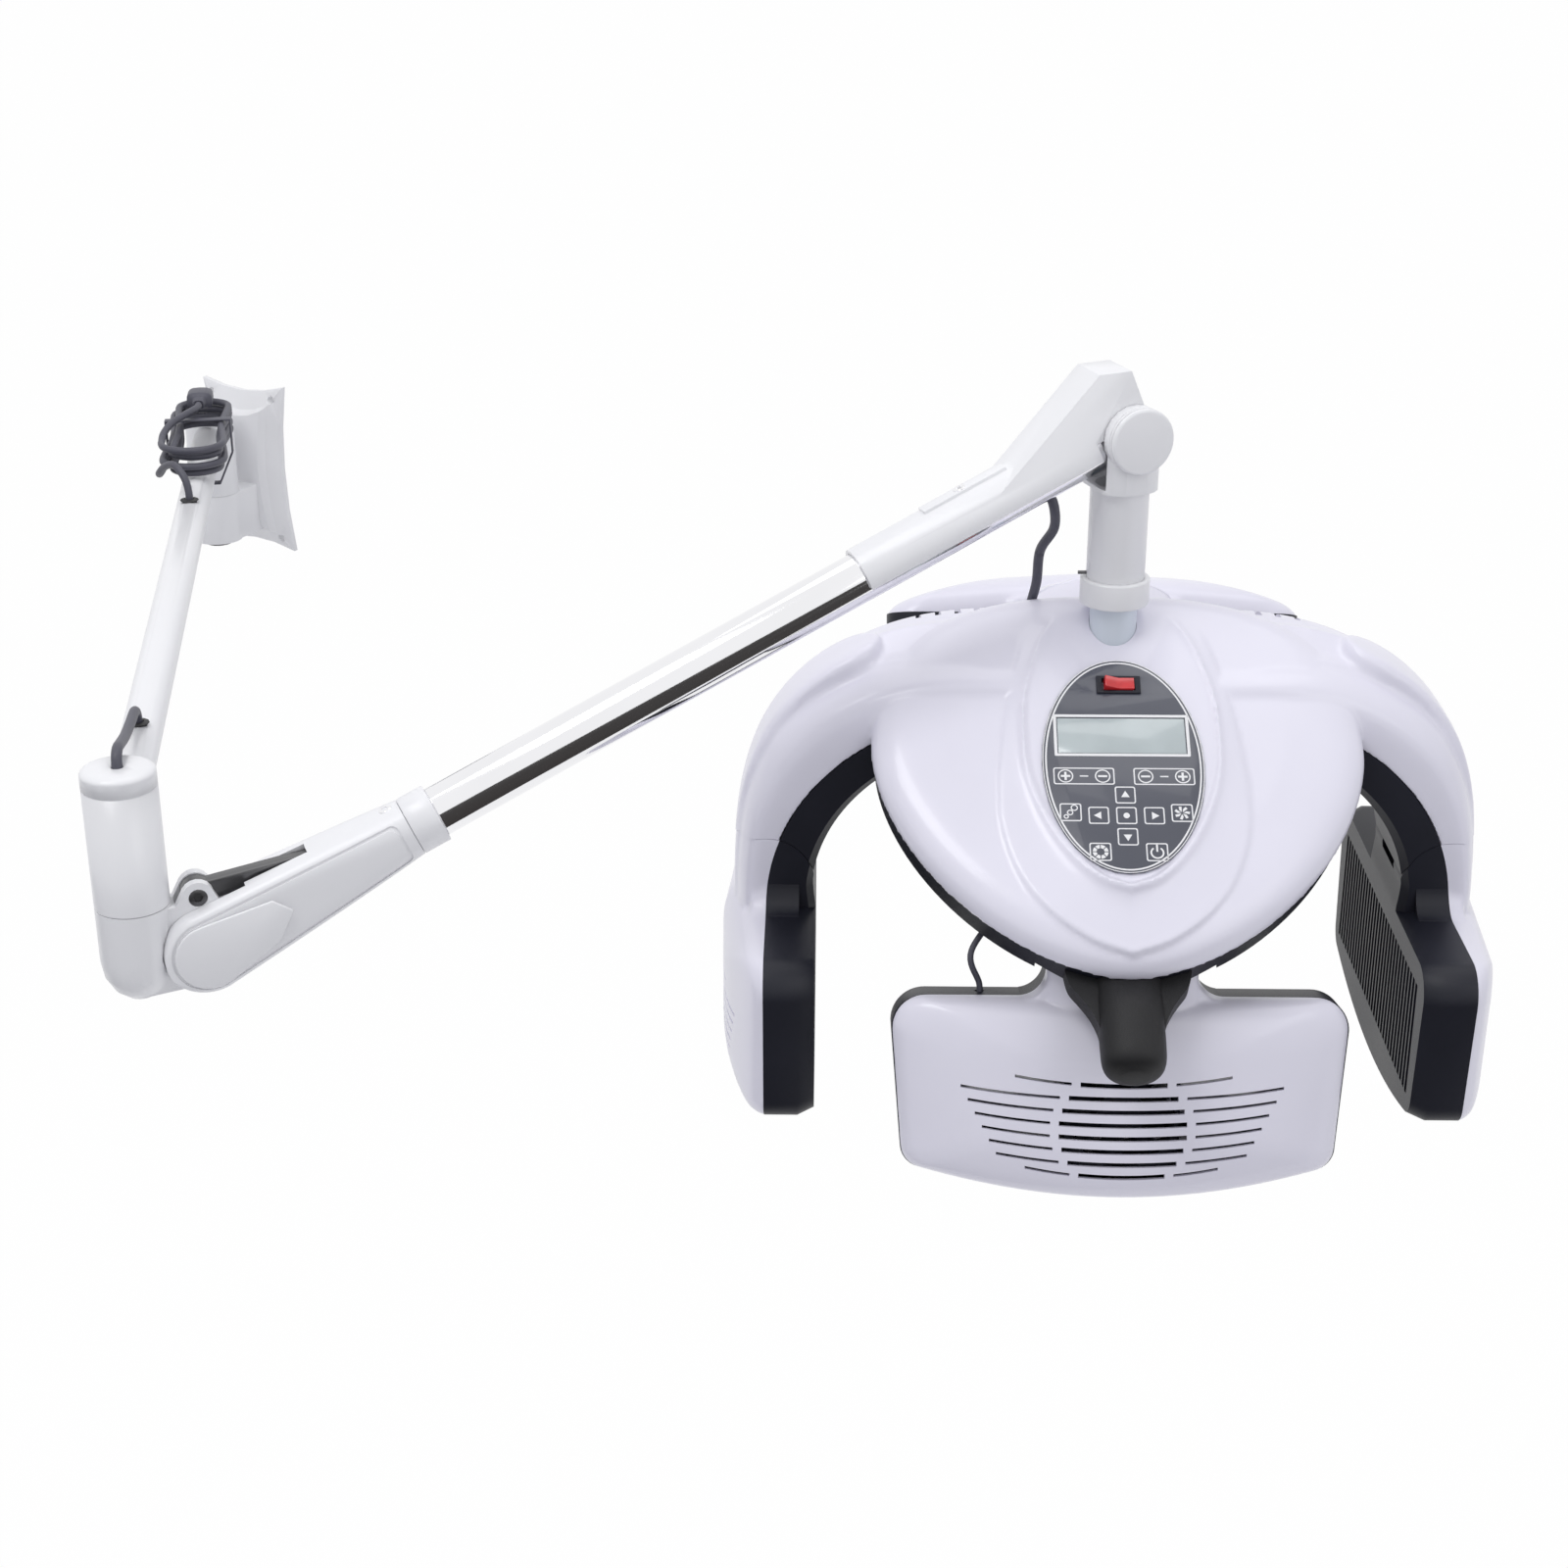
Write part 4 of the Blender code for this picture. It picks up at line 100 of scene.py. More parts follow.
# Stem
FORK_GAP = 0.0360
EAR_T = 0.008
EAR_R = 0.0235
PIVOT_CAP_T = 0.007
GROOVE = 0.0008  # depth of the line round a pivot cap
STEM_R = 0.021
STEM_PIN_R = 0.0013
STEM_PIN_TURN = radians(161)
PIVOT_HEIGHT = 0.1455  # head pivot above the hood's stem seat
COLLAR2_R = 0.025
COLLAR2_HIGH = 0.0387
INNER_STEM_R = 0.017
INNER_STEM_FOOT = -0.045
HUB_SINK = 0.0195  # top of the stem's socket below its seat on the cover
HEAD_YAW = radians(27.0)

# Hood
DOME_Y = -0.112  # centre of the sloping face
DOME_Z = -0.071
DOME_SLOPE = radians(36)
DOME_HALF_W = 0.175
DOME_MID = 0.035  # widest place, up the slope from the centre
DOME_TIP = 0.178  # from the widest place down to the tip
DOME_BACK = 0.133  # from the widest place up to the rear edge
DOME_RIM = -0.030
DOME_WALL = 0.003
DOME_POINTS = 144
REAR_WALL = 0.018
CASE_TOP = DOME_RIM - DOME_WALL - GAP
CASE_DEPTH = 0.020
CASE_LOW = CASE_TOP - CASE_DEPTH
CASE_INSET = 0.0033
CASE_FLOOR = 0.003
LEAF_FLAT = 0.095  # above this the leaf sinks towards the dome's rear edge
LEAF_FALL = 3.0
PANEL_V = 0.0095  # panel's centre, up the slope from the shield's
PANEL_W = 0.113
PANEL_L = 0.174
PANEL_T = 0.0016
LCD_W = 0.090
LCD_H = 0.0295
LCD_V = PANEL_V + 0.0235
VENT_PITCH = 0.0145  # notches in the hood's rear top edge
VENT_COUNT = 6
VENT_FIRST = 0.067
VENT_W = 0.007
HANDLE_R = 0.0222
HANDLE_LENGTH = 0.074
HANDLE_DROP = radians(32)

# Limbs and wings
NECK_W = 0.105
LIMB_CENTRE_X = 0.090
LIMB_CENTRE_Z = -0.200
PART_RX = 0.160  # white and black halves meet on this ellipse
PART_RZ = 0.150
SPINE_RX = 0.185
SPINE_RZ = 0.200
SPINE_POWER = 2.5
LINER_T = 0.023  # black half at the hood's middle
LINER_END_T = 0.033  # and at the hinge
LINER_BEVEL = 0.006
LIMB_LAP = 0.002  # limbs run past the middle into each other
BAND_HALF = 0.020
SPINE_BAND_HALF = 0.027  # raised band along a limb's crest
SPINE_BAND_H = 0.003
LIMB_BLEND = radians(54)
LIMB_PLAIN = (0.40, 0.79, 1.0)  # heights of a limb's edge, shoulder and crest, as shares
LIMB_FULL = (0.86, 1.0, 1.0)  # the same where it makes the hood's rear wall
LIMB_LOW = (0.30, 0.56, 0.72)  # and where it lies under the hood's front face
HINGE_X = 0.250
HINGE_Z = -0.182
HINGE_R = 0.035  # turning seam about the hinge axis
STUB_R = 0.006
STUB_INSET = 0.010  # stub axles stop short of the neck's sides
TONGUE2_W = 0.040
TONGUE2_R = 0.014
REAR_HINGE_Y = 0.1014
REAR_HINGE_Z = -0.0228
REAR_LEAN = radians(66)
REAR_START = 0.020  # rear limb from here in the hood to above its hinge
REAR_END = -0.030
FRONT_HINGE_Y = -0.158
FRONT_HINGE_Z = -0.197
FRONT_LEAN = radians(14)
FRONT_HINGE_R = 0.028
NECK_START = -0.038  # necks begin this far above the hinge axis
PADDLE_W = 0.320
PADDLE_TOP = 0.019  # shoulder below the hinge axis
PADDLE_SIDE = 0.127
PADDLE_BOTTOM = 0.162
PADDLE_TAPER = 0.007
PADDLE_CORNER = 0.024
PADDLE_FILLET = 0.020  # hollow corner between the neck and the shoulder
FILLET_LAP = 0.003
FILLET_H = 0.0115
FILLET_DRAWN = 0.7  # the shell's webs draw in to this share at their tops
PADDLE_CROWN = 0.034
PADDLE_ARCH = 0.021  # fall of the crown from the middle to the paddle's ends
PADDLE_MID = 0.088  # centre that the crown's rings draw in to
SHELL_WALL = 0.003
TRAY_DEPTH = 0.036
TRAY_BEVEL = 0.012
TRAY_DRAWN = 0.95  # share that the tray's floor draws in to
WINDOW_W = 0.262
WINDOW_H = 0.088
WINDOW_MID = 0.084
GRILLE_BARS = 29
GRILLE_BAR_W = 0.0030
CENTRE_W = 0.150  # middle heater's grille
CENTRE_V = -0.010
CENTRE_BARS = 16
FAN_MID = 0.098
SLOT_PITCH = 0.0094  # rows of slots in a paddle's face
SLOT_H = 0.0036
SIDE_SLOT_H = 0.0022
BLIND_SLOT_DEPTH = 0.0009
SLOT_MID = FAN_MID + 0.004
SLOT_ROUND_R = 0.0445  # the long slots end on this circle over the fan
SLOT_GAP = 0.006  # between a long slot and the short ones beside it
SLOT_ARCH = 0.006  # rise of a slot's middle over its ends
SLOT_REACH = (0.075, 0.112, 0.107, 0.102, 0.097, 0.092, 0.087, 0.067)

# Cords
CORD_R = 0.0033
CORD_SIDES = 16
LEAD_R = 0.0036
THIN_LEAD_R = 0.0022
HANK_X = 0.125  # middle of the hank, out from the swivel
HANK_RUN = 0.065  # half the length of a straight run
HANK_FOLD_R = 0.0200
HANK_STEP = 0.0090
HANK_WAIST = 0.16
HANK_LAYER = 0.0074
HANK_LAYERS = 4
LOOP_POINTS = 24
HANK_CLIMB = 0.2  # share of a loop over which it climbs a layer
PLUG_H = 0.017
ELBOW_CABLE_X = 0.131  # cable hole in the first arm, back from the post axis
MAINS_HOLE_X = 0.285
HEAD_LEAD_X = 0.061  # lead's hole in the second arm, level distance from the head pivot
HEAD_LEAD_MIDDLE = (-0.046, 0.030, -0.092)  # from the head pivot, where the lead passes the stem
HEAD_LEAD_END = (-0.0565, 0.041, -0.002)  # in the hood's frame
FRONT_LEAD_CASE = (-0.078, -0.062)  # front lead's holes in the case's floor and in the front wing
FRONT_LEAD_WING = (-0.098, -0.012, 0.026)

# Moulded skins
SKIN = 0.0018  # cell of the skin drawn over joined forms
SKIN_PASSES = 6
SKIN_LAP = 0.008  # forms run past a seam by this before the seam is cut
HOOD_SIDES = 72  # facets of round faces in the hood


def finished(bm):
    bmesh.ops.recalc_face_normals(bm, faces=bm.faces)
    if bm.calc_volume(signed=True) < 0:
        bmesh.ops.reverse_faces(bm, faces=bm.faces)
    mesh = bpy.data.meshes.new("shape")
    bm.to_mesh(mesh)
    bm.free()
    return mesh


def read_mesh(source):
    """The evaluated mesh of a construction object, welded, with the object removed."""
    graph = bpy.context.evaluated_depsgraph_get()
    mesh = bpy.data.meshes.new_from_object(source.evaluated_get(graph), depsgraph=graph)
    bpy.data.objects.remove(source, do_unlink=True)
    bm = bmesh.new()
    bm.from_mesh(mesh)
    bmesh.ops.remove_doubles(bm, verts=bm.verts, dist=0.000005)
    bmesh.ops.dissolve_degenerate(bm, edges=bm.edges, dist=0.000005)
    return finished(bm)


def linked(name, data):
    made = bpy.data.objects.new(name, data)
    SCENE.collection.objects.link(made)
    return made


def scratch(data):
    return linked("scratch", data)


def boolean(operation, body, tools):
    """Body joined with, cut by or kept inside each tool in turn, all in one frame."""
    host = scratch(body)
    others = [scratch(tool) for tool in tools]
    for other in others:
        step = host.modifiers.new("step", 'BOOLEAN')
        step.operation = operation
        step.solver = 'EXACT'
        step.object = other
    mesh = read_mesh(host)
    for other in others:
        bpy.data.objects.remove(other, do_unlink=True)
    return mesh


def cut(body, *tools):
    return boolean('DIFFERENCE', body, tools)


def join(body, *tools):
    return boolean('UNION', body, tools)


def keep(body, *tools):
    return boolean('INTERSECT', body, tools)


def group(*meshes):
    """Several separate solids as one mesh."""
    bm = bmesh.new()
    for mesh in meshes:
        bm.from_mesh(mesh)
    return finished(bm)


def placed(mesh, *matrices):
    """A copy of a mesh with the matrices applied, the first one first."""
    copy = mesh.copy()
    for matrix in matrices:
        copy.transform(matrix)
        if matrix.determinant() < 0:
            copy.flip_normals()
    copy.update()
    return copy


def shift(x=0.0, y=0.0, z=0.0):
    return Matrix.Translation((x, y, z))


def turn(angle, axis):
    return Matrix.Rotation(angle, 4, axis)


TO_X = turn(radians(90), 'Y')
TO_Y = turn(radians(-90), 'X')
UPRIGHT = turn(radians(90), 'X')
MIRROR_X = Matrix.Scale(-1, 4, (1, 0, 0))
MIRROR_Y = Matrix.Scale(-1, 4, (0, 1, 0))
CYCLE = Matrix(((0, 0, 1, 0), (1, 0, 0, 0), (0, 1, 0, 0), (0, 0, 0, 1)))
PLAIN = Matrix.Identity(4)


def box(x, y, z):
    """Box from (low, high) pairs."""
    bm = bmesh.new()
    bmesh.ops.create_cube(bm, size=1.0)
    for vert in bm.verts:
        for k, (low, high) in enumerate((x, y, z)):
            vert.co[k] = low if vert.co[k] < 0 else high
    return finished(bm)


def rod(radius, low, high, sides=64):
    """Solid cylinder along Z."""
    bm = bmesh.new()
    bmesh.ops.create_cone(bm, cap_ends=True, segments=sides, radius1=radius, radius2=radius,
                          depth=high - low)
    bmesh.ops.translate(bm, verts=bm.verts, vec=(0, 0, (low + high) / 2))
    return finished(bm)


def axle(radius, half):
    """Round bar along X, centred."""
    return placed(rod(radius, -half, half, HOOD_SIDES), TO_X)


def turned(profile, sides=64, hollow=False):
    """Profile of (radius, height) points, outer side first and top to bottom, turned about Z."""
    mesh = bpy.data.meshes.new("profile")
    count = len(profile)
    edges = [(k, k + 1) for k in range(count - 1)]
    if hollow:
        edges.append((count - 1, 0))
    mesh.from_pydata([(r, 0.0, z) for r, z in profile], edges, [])
    source = scratch(mesh)
    screw = source.modifiers.new("turn", 'SCREW')
    screw.steps = sides
    screw.render_steps = sides
    screw.use_merge_vertices = True
    screw.merge_threshold = 0.00001
    return read_mesh(source)


def ring(outer, inner, low, high):
    return turned([(outer, high), (outer, low), (inner, low), (inner, high)], hollow=True)


def plate(outline, low, high, holes=()):
    """Flat outline in XY, with holes, from low to high along Z."""
    curve = bpy.data.curves.new("outline", 'CURVE')
    curve.dimensions = '2D'
    curve.fill_mode = 'BOTH'
    curve.extrude = (high - low) / 2
    for points in (outline, *holes):
        spline = curve.splines.new('POLY')
        spline.points.add(len(points) - 1)
        for point, (x, y) in zip(spline.points, points):
            point.co = (x, y, 0.0, 1.0)
        spline.use_cyclic_u = True
    return placed(read_mesh(scratch(curve)), shift(z=(low + high) / 2))


def loft(rings):
    """Closed solid through rings of equal point counts, capped at both ends."""
    bm = bmesh.new()
    rows = [[bm.verts.new(point) for point in points] for points in rings]
    count = len(rows[0])
    for row, after in zip(rows, rows[1:]):
        for k in range(count):
            nxt = (k + 1) % count
            bm.faces.new((row[k], row[nxt], after[nxt], after[k]))
    bm.faces.new(rows[0])
    bm.faces.new(rows[-1])
    return finished(bm)


def stations(first, span, steps):
    """Evenly spaced numbers over a span, both ends included."""
    return [first + span * k / steps for k in range(steps + 1)]


def arc(cx, cy, rx, ry, first, last, steps):
    """Points on an ellipse's arc, angles in degrees, both ends included."""
    angles = [radians(degrees) for degrees in stations(first, last - first, steps)]
    return [(cx + rx * cos(a), cy + ry * sin(a)) for a in angles]


def rectangle(cx, cy, width, height):
    x = width / 2
    y = height / 2
    return [(cx - x, cy - y), (cx + x, cy - y), (cx + x, cy + y), (cx - x, cy + y)]


def curve_point(a, b, c, d, t):
    """Point a share of the way from b to c on a smooth curve through four points."""
    return 0.5 * (2 * b + (c - a) * t + (2 * a - 5 * b + 4 * c - d) * t * t + (3 * b - a - 3 * c + d) * t ** 3)


def with_ends(points):
    """Points as vectors, with one more past each end."""
    knots = [Vector(p) for p in points]
    return [2 * knots[0] - knots[1], *knots, 2 * knots[-1] - knots[-2]]


def smooth_path(points, step):
    """Points about a step apart on a smooth curve through a cord's own points."""
    ends = with_ends(points)
    path = []
    for a, b, c, d in zip(ends, ends[1:], ends[2:], ends[3:]):
        count = max(1, round((c - b).length / step))
        path += [curve_point(a, b, c, d, k / count) for k in range(count)]
    return [*path, ends[-2]]


def superellipse(half_w, half_h, power, count):
    points = []
    for k in range(count):
        a = 2 * pi * k / count
        c, s = cos(a), sin(a)
        points.append((half_w * copysign(abs(c) ** (2 / power), c),
                       half_h * copysign(abs(s) ** (2 / power), s)))
    return points


def spread(rows, count):
    """More rows on a smooth curve through a few rows of numbers."""
    ends = with_ends(rows)
    last = len(rows) - 2
    made = []
    for k in range(count + 1):
        at = (last + 1) * k / count
        first = min(int(at), last)
        made.append(tuple(curve_point(*ends[first:first + 4], at - first)))
    return made


def between(a, b, share):
    return a + (b - a) * share


def both_sides(half):
    """Points along one side, then back along the mirrored side."""
    return [*half, *[(-x, *rest) for x, *rest in reversed(half)]]


def soften(mesh):
    """One even skin over joined forms, with small fillets where they meet."""
    source = scratch(mesh)
    skin = source.modifiers.new("skin", 'REMESH')
    skin.mode = 'VOXEL'
    skin.voxel_size = SKIN
    relax = source.modifiers.new("relax", 'SMOOTH')
    relax.factor = 0.5
    relax.iterations = SKIN_PASSES
    return read_mesh(source)


SWIVEL = shift(0, -SWIVEL_REACH, 0) @ turn(ARM1_YAW, 'Z')
ELBOW = SWIVEL @ shift(ARM1_LENGTH) @ turn(ARM2_YAW - ARM1_YAW, 'Z')
TILT = ELBOW @ shift(TILT_X, 0, TILT_Z) @ turn(-ARM2_RISE, 'Y')
PIVOT = TILT @ shift(ARM2_LENGTH) @ turn(ARM2_RISE, 'Y')
HEAD = PIVOT @ shift(z=-PIVOT_HEIGHT) @ turn(HEAD_YAW - ARM2_YAW, 'Z')


def elbow_cable_points():
    """Out of the arm, along it in a low bow and down through the post cap."""
    start = ARM1_LENGTH - ELBOW_CABLE_X
    top = ARM1_Z + ARM1_R
    bow = ((0.0, -0.006), (0.0, 0.003), (0.004, 0.010), (0.014, 0.0135), (0.040, 0.016), (0.075, 0.0205),
           (0.104, 0.0265), (0.119, 0.0295), (0.128, 0.0275))
    return [*[(start + along, 0, top + up) for along, up in bow],
            (ARM1_LENGTH, 0, POST_TOP + POST_CAP_H + 0.001), (ARM1_LENGTH, 0, POST_TOP - 0.006)]


def hank_loop(first_r, last_r):
    """One long loop of the hank: runs of five points, folds of seven, drawn in at the waist."""
    points = []
    for k in range(LOOP_POINTS):
        share = k / LOOP_POINTS
        radius = between(first_r, last_r, share)
        at = k % 12
        side = -1 if k < 12 else 1
        if at < 5:
            x = HANK_RUN * (1 - 2 * at / 5)
            y = radius * (1 - HANK_WAIST * cos(pi * x / (2 * HANK_RUN)) ** 2)
        else:
            a = pi * (at - 5) / 7
            x = -HANK_RUN - radius * sin(a)
            y = radius * cos(a)
        points.append((-side * x, side * y, share))
    return points


def hank_points():
    """Lead-in from the arm's hole, the layers of the hank, and the plug's end."""
    top = ARM1_Z + ARM1_R
    base = top + GAP + CORD_R + 0.0010
    narrow = HANK_FOLD_R
    wide = HANK_FOLD_R + HANK_STEP
    loops = []
    for layer in range(HANK_LAYERS):
        first_r, last_r = (wide, narrow) if layer % 2 == 0 else (narrow, wide)
        for x, y, share in hank_loop(first_r, last_r):
            level = layer if layer == 0 else layer - 1 + min(1.0, share / HANK_CLIMB)
            loops.append((HANK_X + x, y, base + HANK_LAYER * level))
    last = base + HANK_LAYER * (HANK_LAYERS - 1)
    run_end = HANK_X + HANK_RUN
    lead_in = [(MAINS_HOLE_X - back, y, top + up) for back, y, up in (
        (0, 0, -0.006), (0, 0, 0.008), (0.004, -0.003, 0.020), (0.017, -0.012, 0.028), (0.035, -0.022, 0.022),
        (0.053, -wide, 0.0115))]
    lead_in.append((MAINS_HOLE_X - 0.073, -wide - 0.0015, base + 0.0007))
    plug_z = last + CORD_R + PLUG_H / 2 + 0.001
    lead_out = [(run_end - back, inward - wide, last + up) for back, inward, up in (
        (0, 0, 0), (0.008, -0.0002, 0.0006), (0.022, 0.0005, 0.0035), (0.038, 0.0065, 0.0085))]
    plug_lead = [(HANK_X + 0.007, -0.010, plug_z - 0.0006), (HANK_X - 0.013, -0.001, plug_z),
                 (HANK_X - 0.025, 0.0, plug_z)]
    return [*lead_in, *loops, *lead_out, *plug_lead]


ON_SLOPE = shift(0, DOME_Y, DOME_Z) @ turn(DOME_SLOPE, 'X')


def dome_outline(grow):
    """Shield outline: round tip, squarer rear edge."""
    points = []
    for k in range(DOME_POINTS):
        a = 2 * pi * k / DOME_POINTS
        c, s = cos(a), sin(a)
        reach, power = (DOME_BACK, 2.6) if s > 0 else (DOME_TIP, 1.7)
        points.append(((DOME_HALF_W + grow) * copysign(abs(c) ** (2 / power), c),
                       DOME_MID + (reach + grow) * copysign(abs(s) ** (2 / power), s)))
    return points


DOME_RINGS = ((1.0, -0.030), (0.99, -0.0205), (0.95, -0.0125), (0.86, -0.0070), (0.66, -0.005))


def dome_solid(grow, base):
    """The shield's outer form, or its hollow when grow is negative."""
    outline = dome_outline(grow)
    rings = [[(x, y, base) for x, y in outline]]
    for share, height in spread(DOME_RINGS, 18):
        rings.append([(x * share, DOME_MID + (y - DOME_MID) * share, height + grow) for x, y in outline])
    if abs(base - rings[1][0][2]) < 1e-6:
        rings.pop(0)
    return loft(rings)


# Half outlines of the leaf's edge and crest on the slope, and its rise at shares of the way between them
LEAF_EDGE = ((0.053, 0.155), (0.069, 0.105), (0.0805, 0.050), (0.0860, -0.005), (0.0840, -0.042),
             (0.0725, -0.0775), (0.0530, -0.104), (0.0270, -0.1235), (0.0, -0.1336))
LEAF_CREST = ((0.034, 0.155), (0.054, 0.113), (0.0665, 0.070), (0.0685, 0.030), (0.0655, 0.000),
              (0.0550, -0.032), (0.0390, -0.060), (0.0200, -0.080), (0.0, -0.0885))
LEAF_STAGES = ((-0.04, -0.8), (0.0, 0.35), (0.12, 0.46), (0.40, 0.62), (0.70, 0.82), (0.88, 1.08), (0.96, 1.5),
               (1.02, 1.5), (1.09, 1.0))


def dome_height(u, v):
    """Height of the shield's plain surface over a point of its slope."""
    share = hypot(u / DOME_HALF_W, (v - DOME_MID) / (DOME_TIP if v < DOME_MID else DOME_BACK))
    for (wide, low), (narrow, high) in zip(DOME_RINGS, DOME_RINGS[1:]):
        if share > narrow:
            return low + (high - low) * (min(share, wide) - wide) / (narrow - wide)
    return DOME_RINGS[-1][1]


def leaf_solid():
    """Raised leaf: a round edge on the shield, a sloping band, and a crest round the flat for the panel."""
    edge = spread(LEAF_EDGE, 60)
    crest = spread(LEAF_CREST, 60)
    rings = []
    for share, rise in spread(LEAF_STAGES, 36):
        right = []
        for (x, v), (u, w) in zip(edge, crest):
            low = dome_height(x, v)
            at = between(v, w, share)
            fall = LEAF_FALL * max(0.0, at - LEAF_FLAT) ** 2
            right.append((max(0.0, between(x, u, share)), at, low * (1 - rise) - fall * max(0.0, rise)))
        rings.append([*right, *[(-x, y, z) for x, y, z in reversed(right[:-1])]])
    rings.append([(0.3 * x, 0.3 * y, 0.0) for x, y, z in rings[-1]])
    rings.insert(0, [(x, y, -0.020) for x, y, z in rings[0]])
    return loft(rings)


def limb_shape(fronts):
    """Half sections of a limb, (half width, share of its height), from the edge to the middle."""
    half = NECK_W / 2
    low, shoulder, crest = fronts
    return ((half, 0.0), (half, low), (half * 0.93, low + (shoulder - low) * 0.56), (half * 0.72, shoulder),
            (BAND_HALF + 0.006, shoulder + (crest - shoulder) * 0.45), (BAND_HALF, crest - 0.03),
            (BAND_HALF * 0.5, crest))


def limb_section(x_part, z_part, x_out, z_out, middle):
    """White limb's section across Y: square at the back and low in front near the hood's middle."""
    pairs = []
    for side, far in ((1, LIMB_FULL), (-1, LIMB_LOW)):
        fronts = [between(plain, other, middle) for plain, other in zip(LIMB_PLAIN, far)]
        shape = [(side * y, share) for y, share in spread(limb_shape(fronts), 28)]
        pairs += shape if side > 0 else shape[::-1]
    return [(between(x_part, x_out, share), y, between(z_part, z_out, share)) for y, share in pairs]


def spine_point(angle):
    c, s = cos(angle), sin(angle)
    return (LIMB_CENTRE_X + SPINE_RX * max(s, 0.0) ** (2 / SPINE_POWER),
            LIMB_CENTRE_Z + SPINE_RZ * max(c, 0.0) ** (2 / SPINE_POWER))


def part_point(angle, inward=0.0):
    return (LIMB_CENTRE_X + (PART_RX - inward) * sin(angle),
            LIMB_CENTRE_Z + (PART_RZ - inward) * cos(angle))


LIMB_ANGLES = [radians(2.5 * k) for k in range(37)]


def side_limb_shell():
    """White half of a side limb, along +X from the middle and down to below the hinge seam."""
    sections = [limb_section(-LIMB_LAP, part_point(0.0)[1] + GAP, -LIMB_LAP, spine_point(0.0)[1], 1.0)]
    for angle in LIMB_ANGLES:
        sections.append(limb_section(*part_point(angle, -GAP), *spine_point(angle), max(0.0, 1 - angle / LIMB_BLEND)))
    return loft(sections)


SPINE_BAND = ((20, 0.15), (21.5, 0.55), (24, 0.80), (28, 0.96), (33, 1.0), (44, 1.0), (57, 0.96), (68, 0.86),
              (79, 0.72), (90, 0.60))    # degrees along the limb and share of the band's width


def spine_band():
    """Low band raised along a side limb's crest, round at its start."""
    sections = []
    for degrees, wide in spread(SPINE_BAND, 72):
        angle = radians(degrees)
        foot = Vector(part_point(angle))
        crest = Vector(spine_point(angle))
        up = (crest - foot).normalized()
        rise = SPINE_BAND_H * min(1.0, (90 - degrees) / 30)
        half = SPINE_BAND_HALF * wide
        shape = ((half, -0.012), (half, -0.001), (half * 0.86, rise * 0.7), (half * 0.5, rise))
        sections.append([(crest.x + up.x * high, y, crest.y + up.y * high) for y, high in both_sides(shape)])
    return loft(sections)


LINER_HALF = ((NECK_W / 2, 0.0), (NECK_W / 2, 0.82), (NECK_W / 2 - LINER_BEVEL, 1.0))


def side_limb_liner():
    """Black half of a side limb under the white one."""
    places = [(-LIMB_LAP, LIMB_CENTRE_Z + PART_RZ, -LIMB_LAP, LIMB_CENTRE_Z + PART_RZ - LINER_T)]
    for angle in LIMB_ANGLES:
        thick = LINER_T + (LINER_END_T - LINER_T) * angle / LIMB_ANGLES[-1]
        places.append((*part_point(angle), *part_point(angle, thick)))
    return loft([[(between(x_part, x_in, share), y, between(z_part, z_in, share))
                  for y, share in both_sides(LINER_HALF)] for x_part, z_part, x_in, z_in in places])


def wing_place(u, out, down):
    return (u, -out, -down)


def wing_ring(outline, out):
    return [wing_place(u, out, down) for u, down in outline]


def neck_part(down):
    """Parting edge of the neck, out from the hinge axis, at a height below it."""
    rise = max(0.0, HINGE_Z - down - LIMB_CENTRE_Z)
    return LIMB_CENTRE_X + PART_RX * sqrt(1 - (rise / PART_RZ) ** 2) - HINGE_X


def neck_outer(down):
    """Outer face of the neck: the limb's spine, then a slow rise to the paddle's crown."""
    rise = max(0.0, HINGE_Z - down - LIMB_CENTRE_Z)
    spine = LIMB_CENTRE_X + SPINE_RX * (1 - (rise / SPINE_RZ) ** SPINE_POWER) ** (1 / SPINE_POWER) - HINGE_X
    grow = min(1.0, max(0.0, (down - PADDLE_TOP) / (PADDLE_MID - PADDLE_TOP)))
    return spine + (PADDLE_CROWN - 0.0015 - spine) * grow * grow * (3 - 2 * grow)


def paddle_outline(inset=0.0):
    """Paddle face: flat shoulders, round corners, tapered sides, convex bottom."""
    half = PADDLE_W / 2 - inset
    low_half = half - PADDLE_TAPER
    top = PADDLE_TOP + inset
    side = PADDLE_SIDE - inset * 0.5
    bottom = PADDLE_BOTTOM - inset
    right = arc(half - PADDLE_CORNER, top + PADDLE_CORNER, PADDLE_CORNER, PADDLE_CORNER, -90, 0, 14)
    right += arc(low_half - PADDLE_CORNER * 0.7, side, PADDLE_CORNER * 0.7, PADDLE_CORNER * 0.72, 0, 70, 12)
    last_u, last_down = right[-1]
    for share in [1 - k / 12 for k in range(1, 12)]:
        right.append((last_u * share, bottom - (bottom - last_down) * share * share))
    return [*right, (0.0, bottom), *[(-u, down) for u, down in reversed(right)], (0.0, top)]


SHELL_RINGS = ((1.0, 0.0), (1.0, 0.16), (0.98, 0.42), (0.93, 0.68), (0.80, 0.88), (0.55, 1.0), (0.10, 1.0))
LAP_RINGS = ((1.0, 0.0), *[(share, (SKIN_LAP + height * PADDLE_CROWN) / (SKIN_LAP + PADDLE_CROWN))
                           for share, height in SHELL_RINGS])


